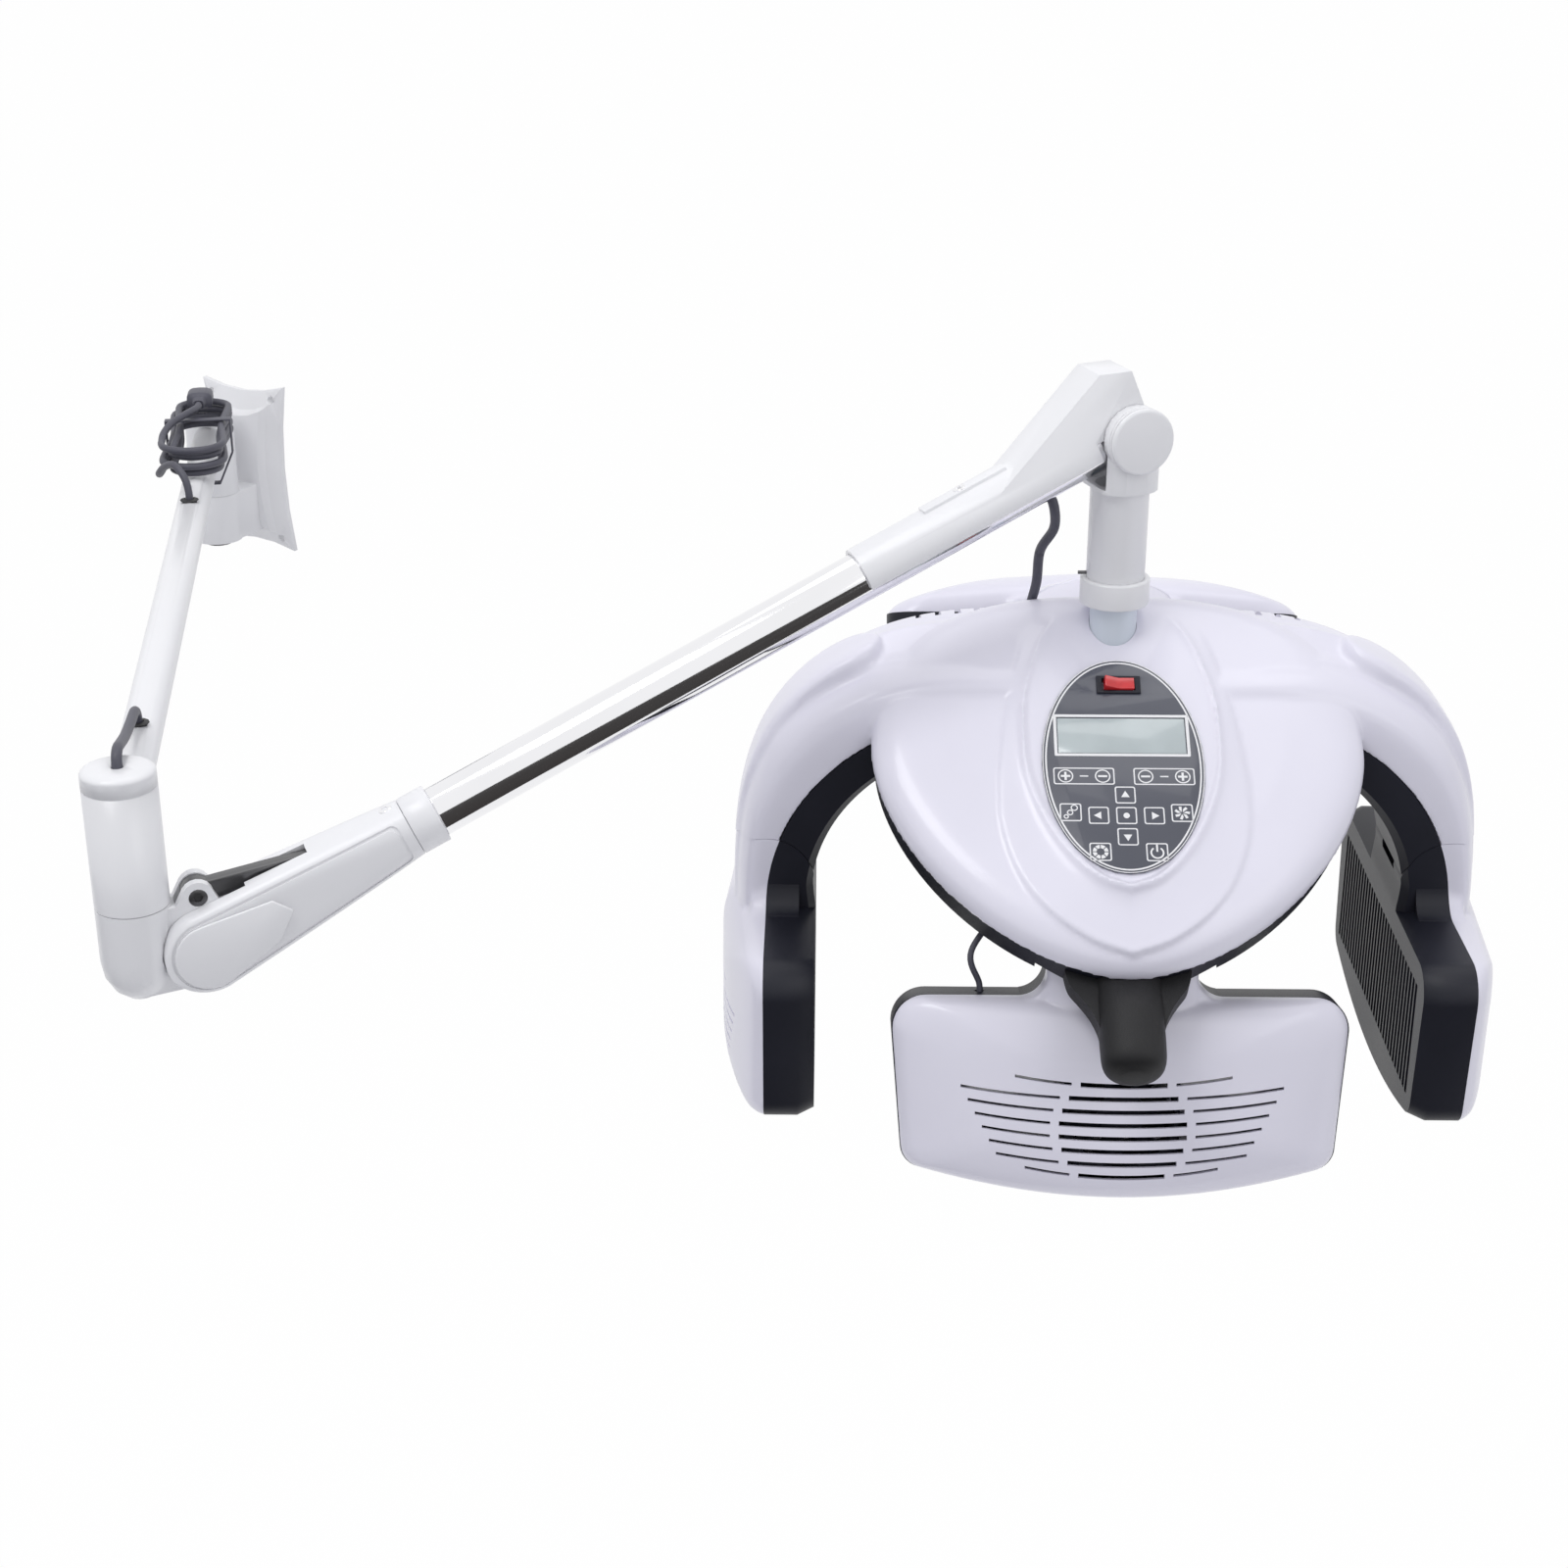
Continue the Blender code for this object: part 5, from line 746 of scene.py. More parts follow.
def shell_lid(inset, base, crown, rows):
    """Crowned lid over the paddle's outline, from a base height to its crown."""
    outline = paddle_outline(inset)
    rings = []
    for share, height in spread(rows, 24):
        points = []
        for u, down in outline:
            arch = PADDLE_ARCH * (2 * u * share / PADDLE_W) ** 2
            points.append(wing_place(u * share, between(base, crown - arch, height),
                                     between(PADDLE_MID, down, share)))
        rings.append(points)
    return loft(rings)


def shoulder_fillets(low, high, drawn=1.0):
    """Hollow-cornered webs between the neck's sides and the paddle's shoulders, from low to high outward."""
    start_u = NECK_W / 2 - FILLET_LAP
    end = PADDLE_TOP + FILLET_LAP
    rings = []
    for out, reach in ((low, PADDLE_FILLET), (high, PADDLE_FILLET * drawn)):
        middle_u = NECK_W / 2 + reach
        top = PADDLE_TOP - reach
        hollow = arc(middle_u, top, reach, reach, 172, 98, 14)
        rings.append(wing_ring([(start_u, end), (start_u, top), *hollow, (middle_u, end)], out))
    web = loft(rings)
    return group(web, placed(web, MIRROR_X))


def neck_loft(span, steps, outline_at):
    """Solid along the neck through outlines given at heights below the hinge axis."""
    return loft([[wing_place(u, out, down) for u, out in outline_at(down)]
                 for down in stations(NECK_START, span, steps)])


def neck_shell():
    """White half of the neck, run on past its seam."""
    pairs = both_sides(spread(limb_shape(LIMB_PLAIN), 28))
    half = pairs[0][0]

    def outline_at(down):
        low = neck_part(down) + GAP
        high = neck_outer(down)
        edge = low - SKIN_LAP
        return [(half, edge), *[(u, between(low, high, share)) for u, share in pairs], (-half, edge)]

    return neck_loft(0.116, 36, outline_at)


def neck_space(offset, reach):
    """Space on one side of the neck's parting surface, as far as a flat face."""
    sections = []
    for down in stations(-0.045, 0.07, 28):
        edge = neck_part(down) + offset
        outline = ((0.2, edge), (0.2, reach), (-0.2, reach), (-0.2, edge))
        sections.append([wing_place(u, out, down) for u, out in outline])
    return loft(sections)


def neck_liner():
    """Black half of the neck."""
    half = NECK_W / 2

    def outline_at(down):
        high = neck_part(down)
        low = high - LINER_END_T - (TRAY_DEPTH - LINER_END_T) * min(1.0, max(0.0, down / PADDLE_TOP))
        return both_sides(((half, high), (half, low + 0.005), (half - LINER_BEVEL, low)))

    return neck_loft(0.0675, 18, outline_at)


def hinge_keep(front):
    """Space that a wing may fill: the round of its turning seam and everything below the axis."""
    radius = FRONT_HINGE_R if front else HINGE_R
    return join(axle(radius, 1), box((-1, 1), (-1, 1), (-1, 0)))


def hinge_room(front):
    """Space that the hood keeps clear for a wing's neck, round the axis and, on the limbs, below it."""
    half = NECK_W / 2 + 0.01
    if front:
        return axle(FRONT_HINGE_R + RUN, half)
    return join(axle(HINGE_R + RUN, half), box((-half, half), (-0.08, 0.08), (-0.1, 0)))


def hinge_slot(front):
    """Slot in the neck for the hood's hinge tongue."""
    half = TONGUE2_W / 2 + RUN
    outward = 0.06 if front else 0.008
    return join(axle(TONGUE2_R + 0.002, half), box((-half, half), (-outward, 0.06), (0, 0.06)))


def stub_bore():
    return axle(STUB_R + GAP, NECK_W / 2 - STUB_INSET + GAP)


def hinge_tongue():
    """Tongue of the hood's liner with the hinge's stub axles."""
    side = [(-0.030, 0.034), (-0.0195, 0.034), (-0.004, 0.012), (-0.004, 0.0), (-0.012, 0.005), (-0.030, 0.0135)]
    half = TONGUE2_W / 2
    web = placed(plate([(-out, up) for out, up in side], -half, half), CYCLE)
    return join(hinge_eye(), web)


def hinge_eye():
    """Round end of a tongue with a stub axle on each side, which the neck's two halves clamp."""
    return join(axle(TONGUE2_R, TONGUE2_W / 2), axle(STUB_R, NECK_W / 2 - STUB_INSET))


def vent_slots():
    """Rows of arched slots: long ones over the fan, thinner ones beside it."""
    slots = []
    for row, far in enumerate(SLOT_REACH):
        offset = (row - (len(SLOT_REACH) - 1) / 2) * SLOT_PITCH
        half = sqrt(SLOT_ROUND_R ** 2 - offset ** 2)
        near = half + SLOT_GAP
        for low, high, tall in ((-half, half, SLOT_H), (near, far, SIDE_SLOT_H), (-far, -near, SIDE_SLOT_H)):
            line = [(u, SLOT_ARCH * ((u / far) ** 2 - 1) - SLOT_MID - offset) for u in stations(low, high - low, 12)]
            outline = [*[(u, v - tall / 2) for u, v in line], *[(u, v + tall / 2) for u, v in reversed(line)]]
            slots.append(placed(plate(outline, 0.008, 0.08), UPRIGHT))
    return group(*slots)


def wing_shell(front=False):
    """White outer shell of a wing: crowned paddle and neck under one skin, cut at its seams."""
    webs = join(shoulder_fillets(2 * GAP, FILLET_H, FILLET_DRAWN), shoulder_fillets(-SKIN_LAP, 3 * GAP))
    body = soften(join(shell_lid(0.0, -SKIN_LAP, PADDLE_CROWN, LAP_RINGS), neck_shell(), webs))
    seam = box((-0.2, 0.2), (-GAP, 0.1), (-0.2, -PADDLE_TOP - 0.004))
    body = cut(keep(body, hinge_keep(front)), seam, neck_space(GAP, -0.1), hinge_slot(front))
    if not front:
        return cut(body, cut(vent_slots(), shell_lid(0.0, -0.02, PADDLE_CROWN - BLIND_SLOT_DEPTH, SHELL_RINGS)))
    hollow = shell_lid(SHELL_WALL, -0.01, PADDLE_CROWN - SHELL_WALL, SHELL_RINGS)
    return cut(body, join(hollow, vent_slots()))


def wing_liner(front=False):
    """Black inner tray of a wing with the grille over its heater."""
    outline = paddle_outline()
    depth = TRAY_DEPTH - TRAY_BEVEL
    drawn = [(u * TRAY_DRAWN, between(PADDLE_MID, down, TRAY_DRAWN)) for u, down in outline]
    tray = loft([wing_ring(outline, 0), wing_ring(outline, -depth), wing_ring(drawn, -TRAY_DEPTH)])
    pocket = loft([wing_ring(paddle_outline(inset), out) for inset, out in (
        (SHELL_WALL, 0.01), (SHELL_WALL, -depth), (3 * SHELL_WALL, SHELL_WALL - TRAY_DEPTH))])
    window = placed(grille_slots(WINDOW_W, WINDOW_H, GRILLE_BARS), shift(y=TRAY_DEPTH, z=-WINDOW_MID))
    tray = cut(tray, pocket, window)
    webs = cut(shoulder_fillets(-depth, 0.004), neck_space(0.0, 0.02))
    body = keep(join(tray, neck_liner(), webs), hinge_keep(front))
    tools = [hinge_slot(front), stub_bore()]
    if front:
        u, out, down = FRONT_LEAD_WING
        tools.append(placed(rod(THIN_LEAD_R + 4 * GAP, -down - 0.002, 0, HOOD_SIDES), shift(u, -out, 0)))
    return cut(body, *tools)


def grille_slots(width, height, bars):
    """Slots between a grille's upright bars, cut along Y, centred on a window."""
    pitch = (width + GRILLE_BAR_W) / (bars + 1)
    half = (pitch - GRILLE_BAR_W) / 2
    slots = []
    for k in range(bars + 1):
        x = (k - bars / 2) * pitch
        slots.append(box((x - half, x + half), (-0.02, 0.02), (-height / 2, height / 2)))
    return group(*slots)


def rear_limb(white):
    """Rear limb: white between spine and parting, or black under the parting."""
    c, s = cos(REAR_LEAN), sin(REAR_LEAN)

    def rear(out):
        return (REAR_HINGE_Y + out * c + REAR_END * s, REAR_HINGE_Z + out * s - REAR_END * c)

    end_part = neck_part(REAR_END)
    edges = ((REAR_START, -0.045), rear(end_part))
    fars = ((REAR_START, -0.070), rear(end_part - LINER_END_T))
    if white:
        fars = ((REAR_START, -0.002), rear(neck_outer(REAR_END)))
    sections = []
    for share in (0.0, 0.5, 1.0):
        edge_y, edge_z = [between(a, b, share) for a, b in zip(*edges)]
        far_y, far_z = [between(a, b, share) for a, b in zip(*fars)]
        half = LINER_HALF
        if white:
            edge_z += GAP
            half = spread(limb_shape([between(a, b, share) for a, b in zip(LIMB_FULL, LIMB_PLAIN)]), 28)
        sections.append([(x, between(edge_y, far_y, t), between(edge_z, far_z, t)) for x, t in both_sides(half)])
    return loft(sections)


def hinge_places():
    """Hinge frames of the wings in the hood's frame, by wing name."""
    quarter = radians(90)
    return {
        "right": shift(HINGE_X, 0, HINGE_Z) @ turn(quarter, 'Z'),
        "left": shift(-HINGE_X, 0, HINGE_Z) @ turn(-quarter, 'Z'),
        "rear": shift(0, REAR_HINGE_Y, REAR_HINGE_Z) @ turn(2 * quarter, 'Z') @ turn(-REAR_LEAN, 'X'),
        "front": shift(0, FRONT_HINGE_Y, FRONT_HINGE_Z) @ turn(-FRONT_LEAN, 'X'),
    }


def vents():
    """Notches along the rear top edge, either side of the rear limb."""
    notches = []
    for k in range(VENT_COUNT):
        for side in (-1, 1):
            x = side * (VENT_FIRST + k * VENT_PITCH)
            tooth = [(x - VENT_W / 2, 0.01), (x, -0.0225), (x + VENT_W / 2, 0.01)]
            notches.append(placed(plate(tooth, -0.060, -0.030), UPRIGHT))
    return group(*notches)


def behind(y):
    """Everything behind a depth in the hood's frame."""
    return box((-1, 1), (y, 1), (-1, 1))


def top_cover():
    """White hood cover: sloping shield, leaf, side limbs and rear limb under one skin, then its cuts."""
    limb = join(side_limb_shell(), spine_band())
    dome = placed(dome_solid(0.0, DOME_RIM), ON_SLOPE)
    leaf = placed(leaf_solid(), ON_SLOPE)
    body = soften(join(dome, limb, placed(limb, MIRROR_X), rear_limb(True), leaf))
    hollow = cut(placed(dome_solid(-DOME_WALL, -0.10), ON_SLOPE), behind(NECK_W / 2 - REAR_WALL))
    wider = Matrix.Scale(1 + 2 * GAP / NECK_W, 4, (1, 0, 0))
    black = placed(rear_limb(False), wider)
    black_room = join(placed(black, shift(z=1.4 * GAP)), placed(black, shift(z=-0.006)))
    stem = rod(INNER_STEM_R + GAP, -1, 1)
    rooms = [placed(hinge_room(False), place) for name, place in hinge_places().items() if name != "front"]
    return cut(body, hollow, black_room, group(stem, vents()), *rooms)


def bottom_case():
    """Black case under the cover: tray with the middle heater's grille, limb liners and hinge tongues."""
    tray = plate(dome_outline(-CASE_INSET), CASE_LOW, CASE_TOP)
    pocket = plate(dome_outline(-CASE_INSET - DOME_WALL), CASE_LOW + CASE_FLOOR, 0.05)
    window = placed(grille_slots(CENTRE_W, WINDOW_H, CENTRE_BARS), turn(radians(-90), 'X'),
                    shift(0, CENTRE_V, CASE_LOW))
    block = keep(box((-0.062, 0.062), (-0.20, -0.070), (CASE_LOW + 0.001, CASE_TOP)),
                 plate(dome_outline(-CASE_INSET), -1, 1))
    lead = placed(rod(THIN_LEAD_R + 4 * GAP, -0.1, CASE_TOP, HOOD_SIDES), shift(*FRONT_LEAD_CASE))
    shell = placed(join(cut(tray, pocket, window, lead), block), ON_SLOPE)
    shell = cut(shell, behind(NECK_W / 2 - REAR_WALL - GAP))
    liner = side_limb_liner()
    stem_hub = rod(STEM_R + 0.008, -0.070, -HUB_SINK, HOOD_SIDES)
    body = join(shell, liner, placed(liner, MIRROR_X), rear_limb(False), stem_hub)
    seat = rod(INNER_STEM_R + GAP, INNER_STEM_FOOT - GAP, 1, HOOD_SIDES)
    places = hinge_places()
    body = cut(body, seat, *[placed(hinge_room(name == "front"), place) for name, place in places.items()])
    tongues = [placed(hinge_tongue(), places[name]) for name in ("right", "left", "rear")]
    return join(body, *tongues, front_lug(places["front"]))


def front_lug(place):
    """Lug under the case for the front wing's hinge, square to the sloping floor."""
    half = TONGUE2_W / 2
    axis = ON_SLOPE.inverted() @ place.translation
    web = placed(box((-half, half), (axis.y - 0.009, axis.y + 0.009), (axis.z, CASE_TOP - 0.002)), ON_SLOPE)
    return join(placed(hinge_eye(), place), web)


# Grip's sections, (share of its length, width, height), and its web's edge, (half width, share of the grip's length)
HANDLE_STAGES = ((-0.30, 1.0, 0.60), (0.05, 1.0, 0.66), (0.19, 1.0, 0.77), (0.32, 1.0, 0.90), (0.46, 1.0, 0.98),
                 (0.68, 1.0, 1.0), (0.86, 0.96, 0.96), (0.95, 0.78, 0.78), (1.0, 0.42, 0.42))
WEB_EDGE = ((1.98, -0.30), (1.95, -0.10), (1.82, 0.07), (1.52, 0.20), (1.24, 0.33), (1.04, 0.47), (0.95, 0.58))


def handle():
    """Round grip that flares into a web along the case's front edge."""
    start_v = DOME_MID - DOME_TIP + 0.006
    root = ON_SLOPE @ Vector((0, start_v, CASE_TOP - CASE_DEPTH / 2))
    sections = []
    for along, wide, high in spread(HANDLE_STAGES, 48):
        shape = superellipse(HANDLE_R * wide, HANDLE_R * high, 2.2, 72)
        sections.append([(x, -along * HANDLE_LENGTH, z) for x, z in shape])
    half = [(HANDLE_R * wide, -along * HANDLE_LENGTH) for wide, along in spread(WEB_EDGE, 30)]
    web = plate(both_sides(half), -0.40 * HANDLE_R, 0.22 * HANDLE_R)
    grip = placed(join(loft(sections), web), turn(HANDLE_DROP, 'X'), shift(*root))
    case_room = placed(plate(dome_outline(-CASE_INSET + GAP), CASE_LOW - 0.012, DOME_RIM), ON_SLOPE)
    dome_room = placed(dome_solid(GAP, DOME_RIM - GAP), ON_SLOPE)
    return cut(grip, case_room, dome_room)


def head_lead_points():
    """From the second arm's underside, past the stem, to the hood's rear edge, about the head pivot."""
    on_axis = Vector((-HEAD_LEAD_X, 0, -HEAD_LEAD_X * tan(ARM2_RISE)))
    down = Vector((sin(ARM2_RISE), 0, -cos(ARM2_RISE)))
    seat = turn(HEAD_YAW - ARM2_YAW, 'Z') @ Vector(HEAD_LEAD_END) - Vector((0, 0, PIVOT_HEIGHT))
    leave = on_axis + down * (TUBE_R + 0.008)
    middle = Vector(HEAD_LEAD_MIDDLE)
    return [on_axis + down * (TUBE_R - 0.004), leave, leave.lerp(middle, 0.5) + Vector((0.004, -0.003, 0.001)),
            middle, middle.lerp(seat, 0.55) + Vector((0.001, -0.001, 0.002)), seat + Vector((0, 0, 0.004)),
            seat - Vector((0, 0, 0.008))]


def front_lead_points():
    """Short lead from the case's underside into the front wing's shoulder, in the hood's frame."""
    place = hinge_places()["front"]
    u, out, down = FRONT_LEAD_WING
    wing_end = place @ Vector(wing_place(u, out, down))
    wing_out = place @ Vector(wing_place(u, out, down - 0.012))
    case_end = ON_SLOPE @ Vector((*FRONT_LEAD_CASE, CASE_LOW + 0.001))
    case_out = ON_SLOPE @ Vector((*FRONT_LEAD_CASE, CASE_LOW - 0.012))
    bow = case_out.lerp(wing_out, 0.5) + Vector((-0.016, -0.010, -0.002))
    return [case_end, case_out, bow, wing_out, wing_end]


# Finishes
def set_inputs(node, values):
    for socket, value in values.items():
        node.inputs[socket.replace("_", " ")].default_value = value


def add(tree, kind, **values):
    """A shader node with some of its inputs set."""
    made = tree.nodes.new("ShaderNode" + kind)
    set_inputs(made, values)
    return made


def finish(name, colour, rough, metal=0.0, tint=0.03, patch=9.0, grain=900.0, bump=0.02, coat=0.0, vary=0.06, **more):
    """Moulded or painted surface: slow tint and gloss changes, and a fine skin in relief."""
    made = bpy.data.materials.new(name)
    made.use_nodes = True
    tree = made.node_tree
    shader = tree.nodes["Principled BSDF"]
    set_inputs(shader, dict(Metallic=metal, Coat_Weight=coat, Coat_Roughness=0.08, **more))
    place = add(tree, "TexCoord")
    slow = add(tree, "TexNoise", Scale=patch, Detail=4.0)
    ramp = add(tree, "ValToRGB")
    for stop, at, factor in zip(ramp.color_ramp.elements, (0.35, 0.65), (1 - tint, 1 + tint)):
        stop.color = (*[min(1.0, c * factor) for c in colour], 1)
        stop.position = at
    gloss = add(tree, "MapRange", To_Min=max(0.02, rough - vary), To_Max=rough + vary)
    skin = add(tree, "TexNoise", Scale=grain, Detail=2.0)
    relief = add(tree, "Bump", Strength=bump, Distance=0.001)
    for source, target in (
            (place.outputs["Object"], slow.inputs["Vector"]), (place.outputs["Object"], skin.inputs["Vector"]),
            (slow.outputs["Fac"], ramp.inputs["Fac"]), (ramp.outputs["Color"], shader.inputs["Base Color"]),
            (slow.outputs["Fac"], gloss.inputs["Value"]), (gloss.outputs["Result"], shader.inputs["Roughness"]),
            (skin.outputs["Fac"], relief.inputs["Height"]), (relief.outputs["Normal"], shader.inputs["Normal"])):
        tree.links.new(source, target)
    return made


LOOK = {name: finish(name, colour, rough, **more) for name, colour, rough, more in (
    ("arm_white", (0.86, 0.86, 0.875), 0.34, dict(tint=0.012, grain=1600, bump=0.05, coat=0.15)),
    ("hood_white", (0.80, 0.785, 0.88), 0.33, dict(tint=0.012, grain=2400, bump=0.02, coat=0.25)),
    ("black_plastic", (0.012, 0.0128, 0.021), 0.42, dict(tint=0.12, grain=2600, bump=0.14, Specular_IOR_Level=0.28)),
    ("grip_black", (0.013, 0.013, 0.0145), 0.50, dict(tint=0.12, grain=1500, bump=0.30, Specular_IOR_Level=0.28)),
    ("panel_slate", (0.070, 0.075, 0.100), 0.30, dict(tint=0.05, grain=3000, bump=0.03, coat=0.4)),
    ("display_glass", (0.47, 0.53, 0.54), 0.16, dict(tint=0.05, patch=30, bump=0.01, coat=0.8)),
    ("rocker_red", (0.62, 0.020, 0.026), 0.20, dict(tint=0.12, patch=80, bump=0.02, coat=0.5)),
    ("print_white", (0.86, 0.86, 0.87), 0.45, dict(tint=0.02, bump=0.02)),
    ("chrome_plate", (0.86, 0.86, 0.88), 0.07, dict(metal=1.0, tint=0.02, grain=400, bump=0.004, vary=0.02)),
    ("stem_blue", (0.72, 0.78, 0.85), 0.30, dict(tint=0.012, grain=1800, bump=0.02)),
    ("steel", (0.15, 0.15, 0.155), 0.36, dict(metal=1.0, tint=0.06, grain=1400, bump=0.08)),
    ("bronze", (0.45, 0.29, 0.13), 0.40, dict(metal=1.0, tint=0.10, grain=1200, bump=0.08)),
    ("reflector_sheet", (0.80, 0.80, 0.81), 0.22, dict(metal=1.0, tint=0.04, grain=700, bump=0.10)),
    ("quartz", (0.70, 0.66, 0.60), 0.18, dict(tint=0.06, grain=1000, bump=0.04, coat=0.6)),
    ("cord_white", (0.66, 0.66, 0.67), 0.55, dict(tint=0.03, grain=1800, bump=0.10)),
    ("cord_grey", (0.075, 0.075, 0.098), 0.50, dict(tint=0.06, grain=1800, bump=0.10)),
    ("rubber_black", (0.025, 0.025, 0.027), 0.60, dict(tint=0.08, grain=1600, bump=0.20)),
)}


# Pieces
SHARP = radians(35)  # edges sharper than this stay crisp in shading


def piece(name, mesh, place, look, body, stands_for=()):
    """A finished mesh in the frame, riding on a body, in place of its plain solids."""
    mesh.transform(place)
    mesh.name = name
    mesh.materials.clear()
    mesh.materials.append(LOOK[look])
    mesh.shade_smooth()
    mesh.set_sharp_from_angle(angle=SHARP)
    made = linked(name, mesh)
    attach(made, body)
    if stands_for:
        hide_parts(*stands_for)
    return made


def fine(node, mesh, place, look=None):
    """A finished mesh in place of one solid, on that solid's body."""
    return piece(node + ".fine", mesh, place, look or SLOT_OF[node], BODY_OF[node], [node])


BODY_OF = {node: body for body, members in frame["record"]["behaviour"]["bodies"].items() for node in members}
SLOT_OF = {row["node"]: row["material_slot"] for row in frame["record"]["subparts"]}


def set_round(bm, place, radius):
    """Split the flats of a turned face and set them out on its circle about place's Z axis."""
    back = place.inverted()

    def on_ring(edge):
        a, b = [back @ v.co for v in edge.verts]
        return abs(a.z - b.z) < 1e-5 and all(abs(hypot(p.x, p.y) - radius) < 3e-5 for p in (a, b))

    made = bmesh.ops.subdivide_edges(bm, edges=[e for e in bm.edges if on_ring(e)], cuts=3)
    for item in made["geom_inner"]:
        if isinstance(item, bmesh.types.BMVert):
            at = back @ item.co
            grow = radius / hypot(at.x, at.y)
            item.co = place @ Vector((at.x * grow, at.y * grow, at.z))


def rounded(node, width, about=None, radii=(), look=None, cutter=None):
    """A plain solid with its edges broken, as made edges are, and its turned faces rounder."""
    bm = bmesh.new()
    bm.from_mesh(NODES[node].data)
    bmesh.ops.remove_doubles(bm, verts=bm.verts, dist=0.000004)
    bmesh.ops.dissolve_limit(bm, angle_limit=radians(0.6), verts=bm.verts, edges=bm.edges)
    for radius in radii:
        set_round(bm, about, radius)
    source = scratch(finished(bm))
    edge = source.modifiers.new("edge", 'BEVEL')
    edge.width = width
    edge.segments = 2
    edge.limit_method = 'ANGLE'
    edge.angle_limit = radians(32)
    mesh = read_mesh(source)
    if cutter:
        mesh = cut(mesh, cutter)
    return fine(node, mesh, PLAIN, look)


def tube(points, radius):
    """Round tube along points, closed at its ends."""
    path = [Vector(p) for p in points]
    rings = []
    side = None
    for k, here in enumerate(path):
        ahead = (path[min(k + 1, len(path) - 1)] - path[max(k - 1, 0)]).normalized()
        if side is None:
            side = ahead.orthogonal().normalized()
        side = (side - ahead * side.dot(ahead)).normalized()
        up = ahead.cross(side)
        turns = [2 * pi * j / CORD_SIDES for j in range(CORD_SIDES)]
        rings.append([here + radius * (cos(a) * side + sin(a) * up) for a in turns])
    return loft(rings)


# Camera at the photograph's angle
camera = linked("camera", bpy.data.cameras.new("camera"))
camera.data.lens = 58.0
camera.data.sensor_width = 36.0
camera.location = (1.652, -1.953, 0.706)
camera.rotation_euler = Vector((-0.432, 0.813, -0.391)).to_track_quat('-Z', 'Y').to_euler()
SCENE.camera = camera

# Cords
hank_path = [SWIVEL @ p for p in smooth_path(hank_points(), 0.004)]
mains = fine("mains_cord", tube(hank_path, CORD_R), PLAIN, "cord_grey")
elbow_path = [SWIVEL @ p for p in smooth_path(elbow_cable_points(), 0.003)]
bow = fine("elbow_cable", tube(elbow_path, LEAD_R), PLAIN)
whole_lead = [PIVOT @ p for p in smooth_path(head_lead_points(), 0.004)]
middle = PIVOT @ Vector(HEAD_LEAD_MIDDLE)
halfway = min(range(len(whole_lead)), key=lambda k: (whole_lead[k] - middle).length)
front_path = [HEAD @ p for p in smooth_path(front_lead_points(), 0.003)]
for node, path, radius, first, last in (
        ("head_cable_upper", whole_lead[:halfway + 1], LEAD_R, "second_arm", "stem"),
        ("head_cable_lower", whole_lead[halfway:], LEAD_R, "stem", "head"),
        ("front_cable", front_path, THIN_LEAD_R, "head", "front_wing")):
    mesh = tube(path, radius)
    mesh.materials.append(LOOK["cord_grey"])
    mesh.shade_smooth()
    lead = linked(node + ".fine", mesh)
    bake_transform(lead)
    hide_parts(node)

# Hood and wings
fine("top_cover", top_cover(), HEAD)
fine("bottom_case", bottom_case(), HEAD)
fine("handle", handle(), HEAD, "grip_black")
shells = {False: wing_shell(), True: wing_shell(front=True)}
liners = {False: wing_liner(), True: wing_liner(front=True)}
for name, place in hinge_places().items():
    front = name == "front"
    fine(name + "_wing_shell", shells[front].copy(), HEAD @ place)
    fine(name + "_wing_liner", liners[front].copy(), HEAD @ place)

# Arm and fittings
POST = SWIVEL @ shift(ARM1_LENGTH)
ARM1_AXIS = SWIVEL @ shift(z=ARM1_Z) @ TO_X
ARM2_AXIS = TILT @ TO_X
CAP_AXIS = PIVOT @ TO_Y
KNUCKLE_RINGS = [POST_R * cos(radians(22.5 * k)) for k in range(4)]
for node, width, *about in (
        ("wall_plate", 0.0012),
        ("swivel_sleeve", 0.001, SWIVEL, (SLEEVE_R,)),
        ("swivel_cap", 0.0008, SWIVEL, (SLEEVE_R,)),
        ("first_arm_tube", 0.0003, ARM1_AXIS, (ARM1_R,)),
        ("mains_grommet", 0.0003),
        ("elbow_grommet", 0.0003),
        ("elbow_knuckle", 0.0009, ELBOW, KNUCKLE_RINGS),
        ("pivot_cover_pin", 0.0008),
        ("pivot_cover", 0.0008),
        ("arm_collar", 0.0008, ARM2_AXIS, (COLLAR_R,)),
        ("chrome_tube", 0.0003, ARM2_AXIS, (TUBE_R,)),
        ("upper_arm_cover", 0.0010),
        ("stem_fork", 0.0010, PIVOT, (STEM_R,)),
        ("stem_collar", 0.0006, PIVOT, (COLLAR2_R, COLLAR2_R - 0.001)),
        ("inner_stem", 0.0005, PIVOT, (INNER_STEM_R,)),
        ("control_panel", 0.0004),
        ("lcd_window", 0.0003),
        ("rocker_frame", 0.0004),
        ("rocker_button", 0.0006),
        ("fan_frame", 0.0004)):
    rounded(node, width, *about)
rounded("balance_rod", 0.0012, look="steel")
cap_face = FORK_GAP / 2 + EAR_T + GAP + PIVOT_CAP_T
cap_line = ring(EAR_R + 0.01, EAR_R - GROOVE, cap_face - 0.0040, cap_face - 0.0032)
for node, way in (("pivot_cap_pin", MIRROR_Y), ("pivot_cap", PLAIN)):
    rounded(node, 0.0008, CAP_AXIS, (EAR_R, EAR_R * 0.93), cutter=placed(cap_line, TO_Y, way, PIVOT))
rounded("mains_plug", 0.0008, look="cord_grey")
rounded("hank_tie", 0.0004, look="cord_grey")
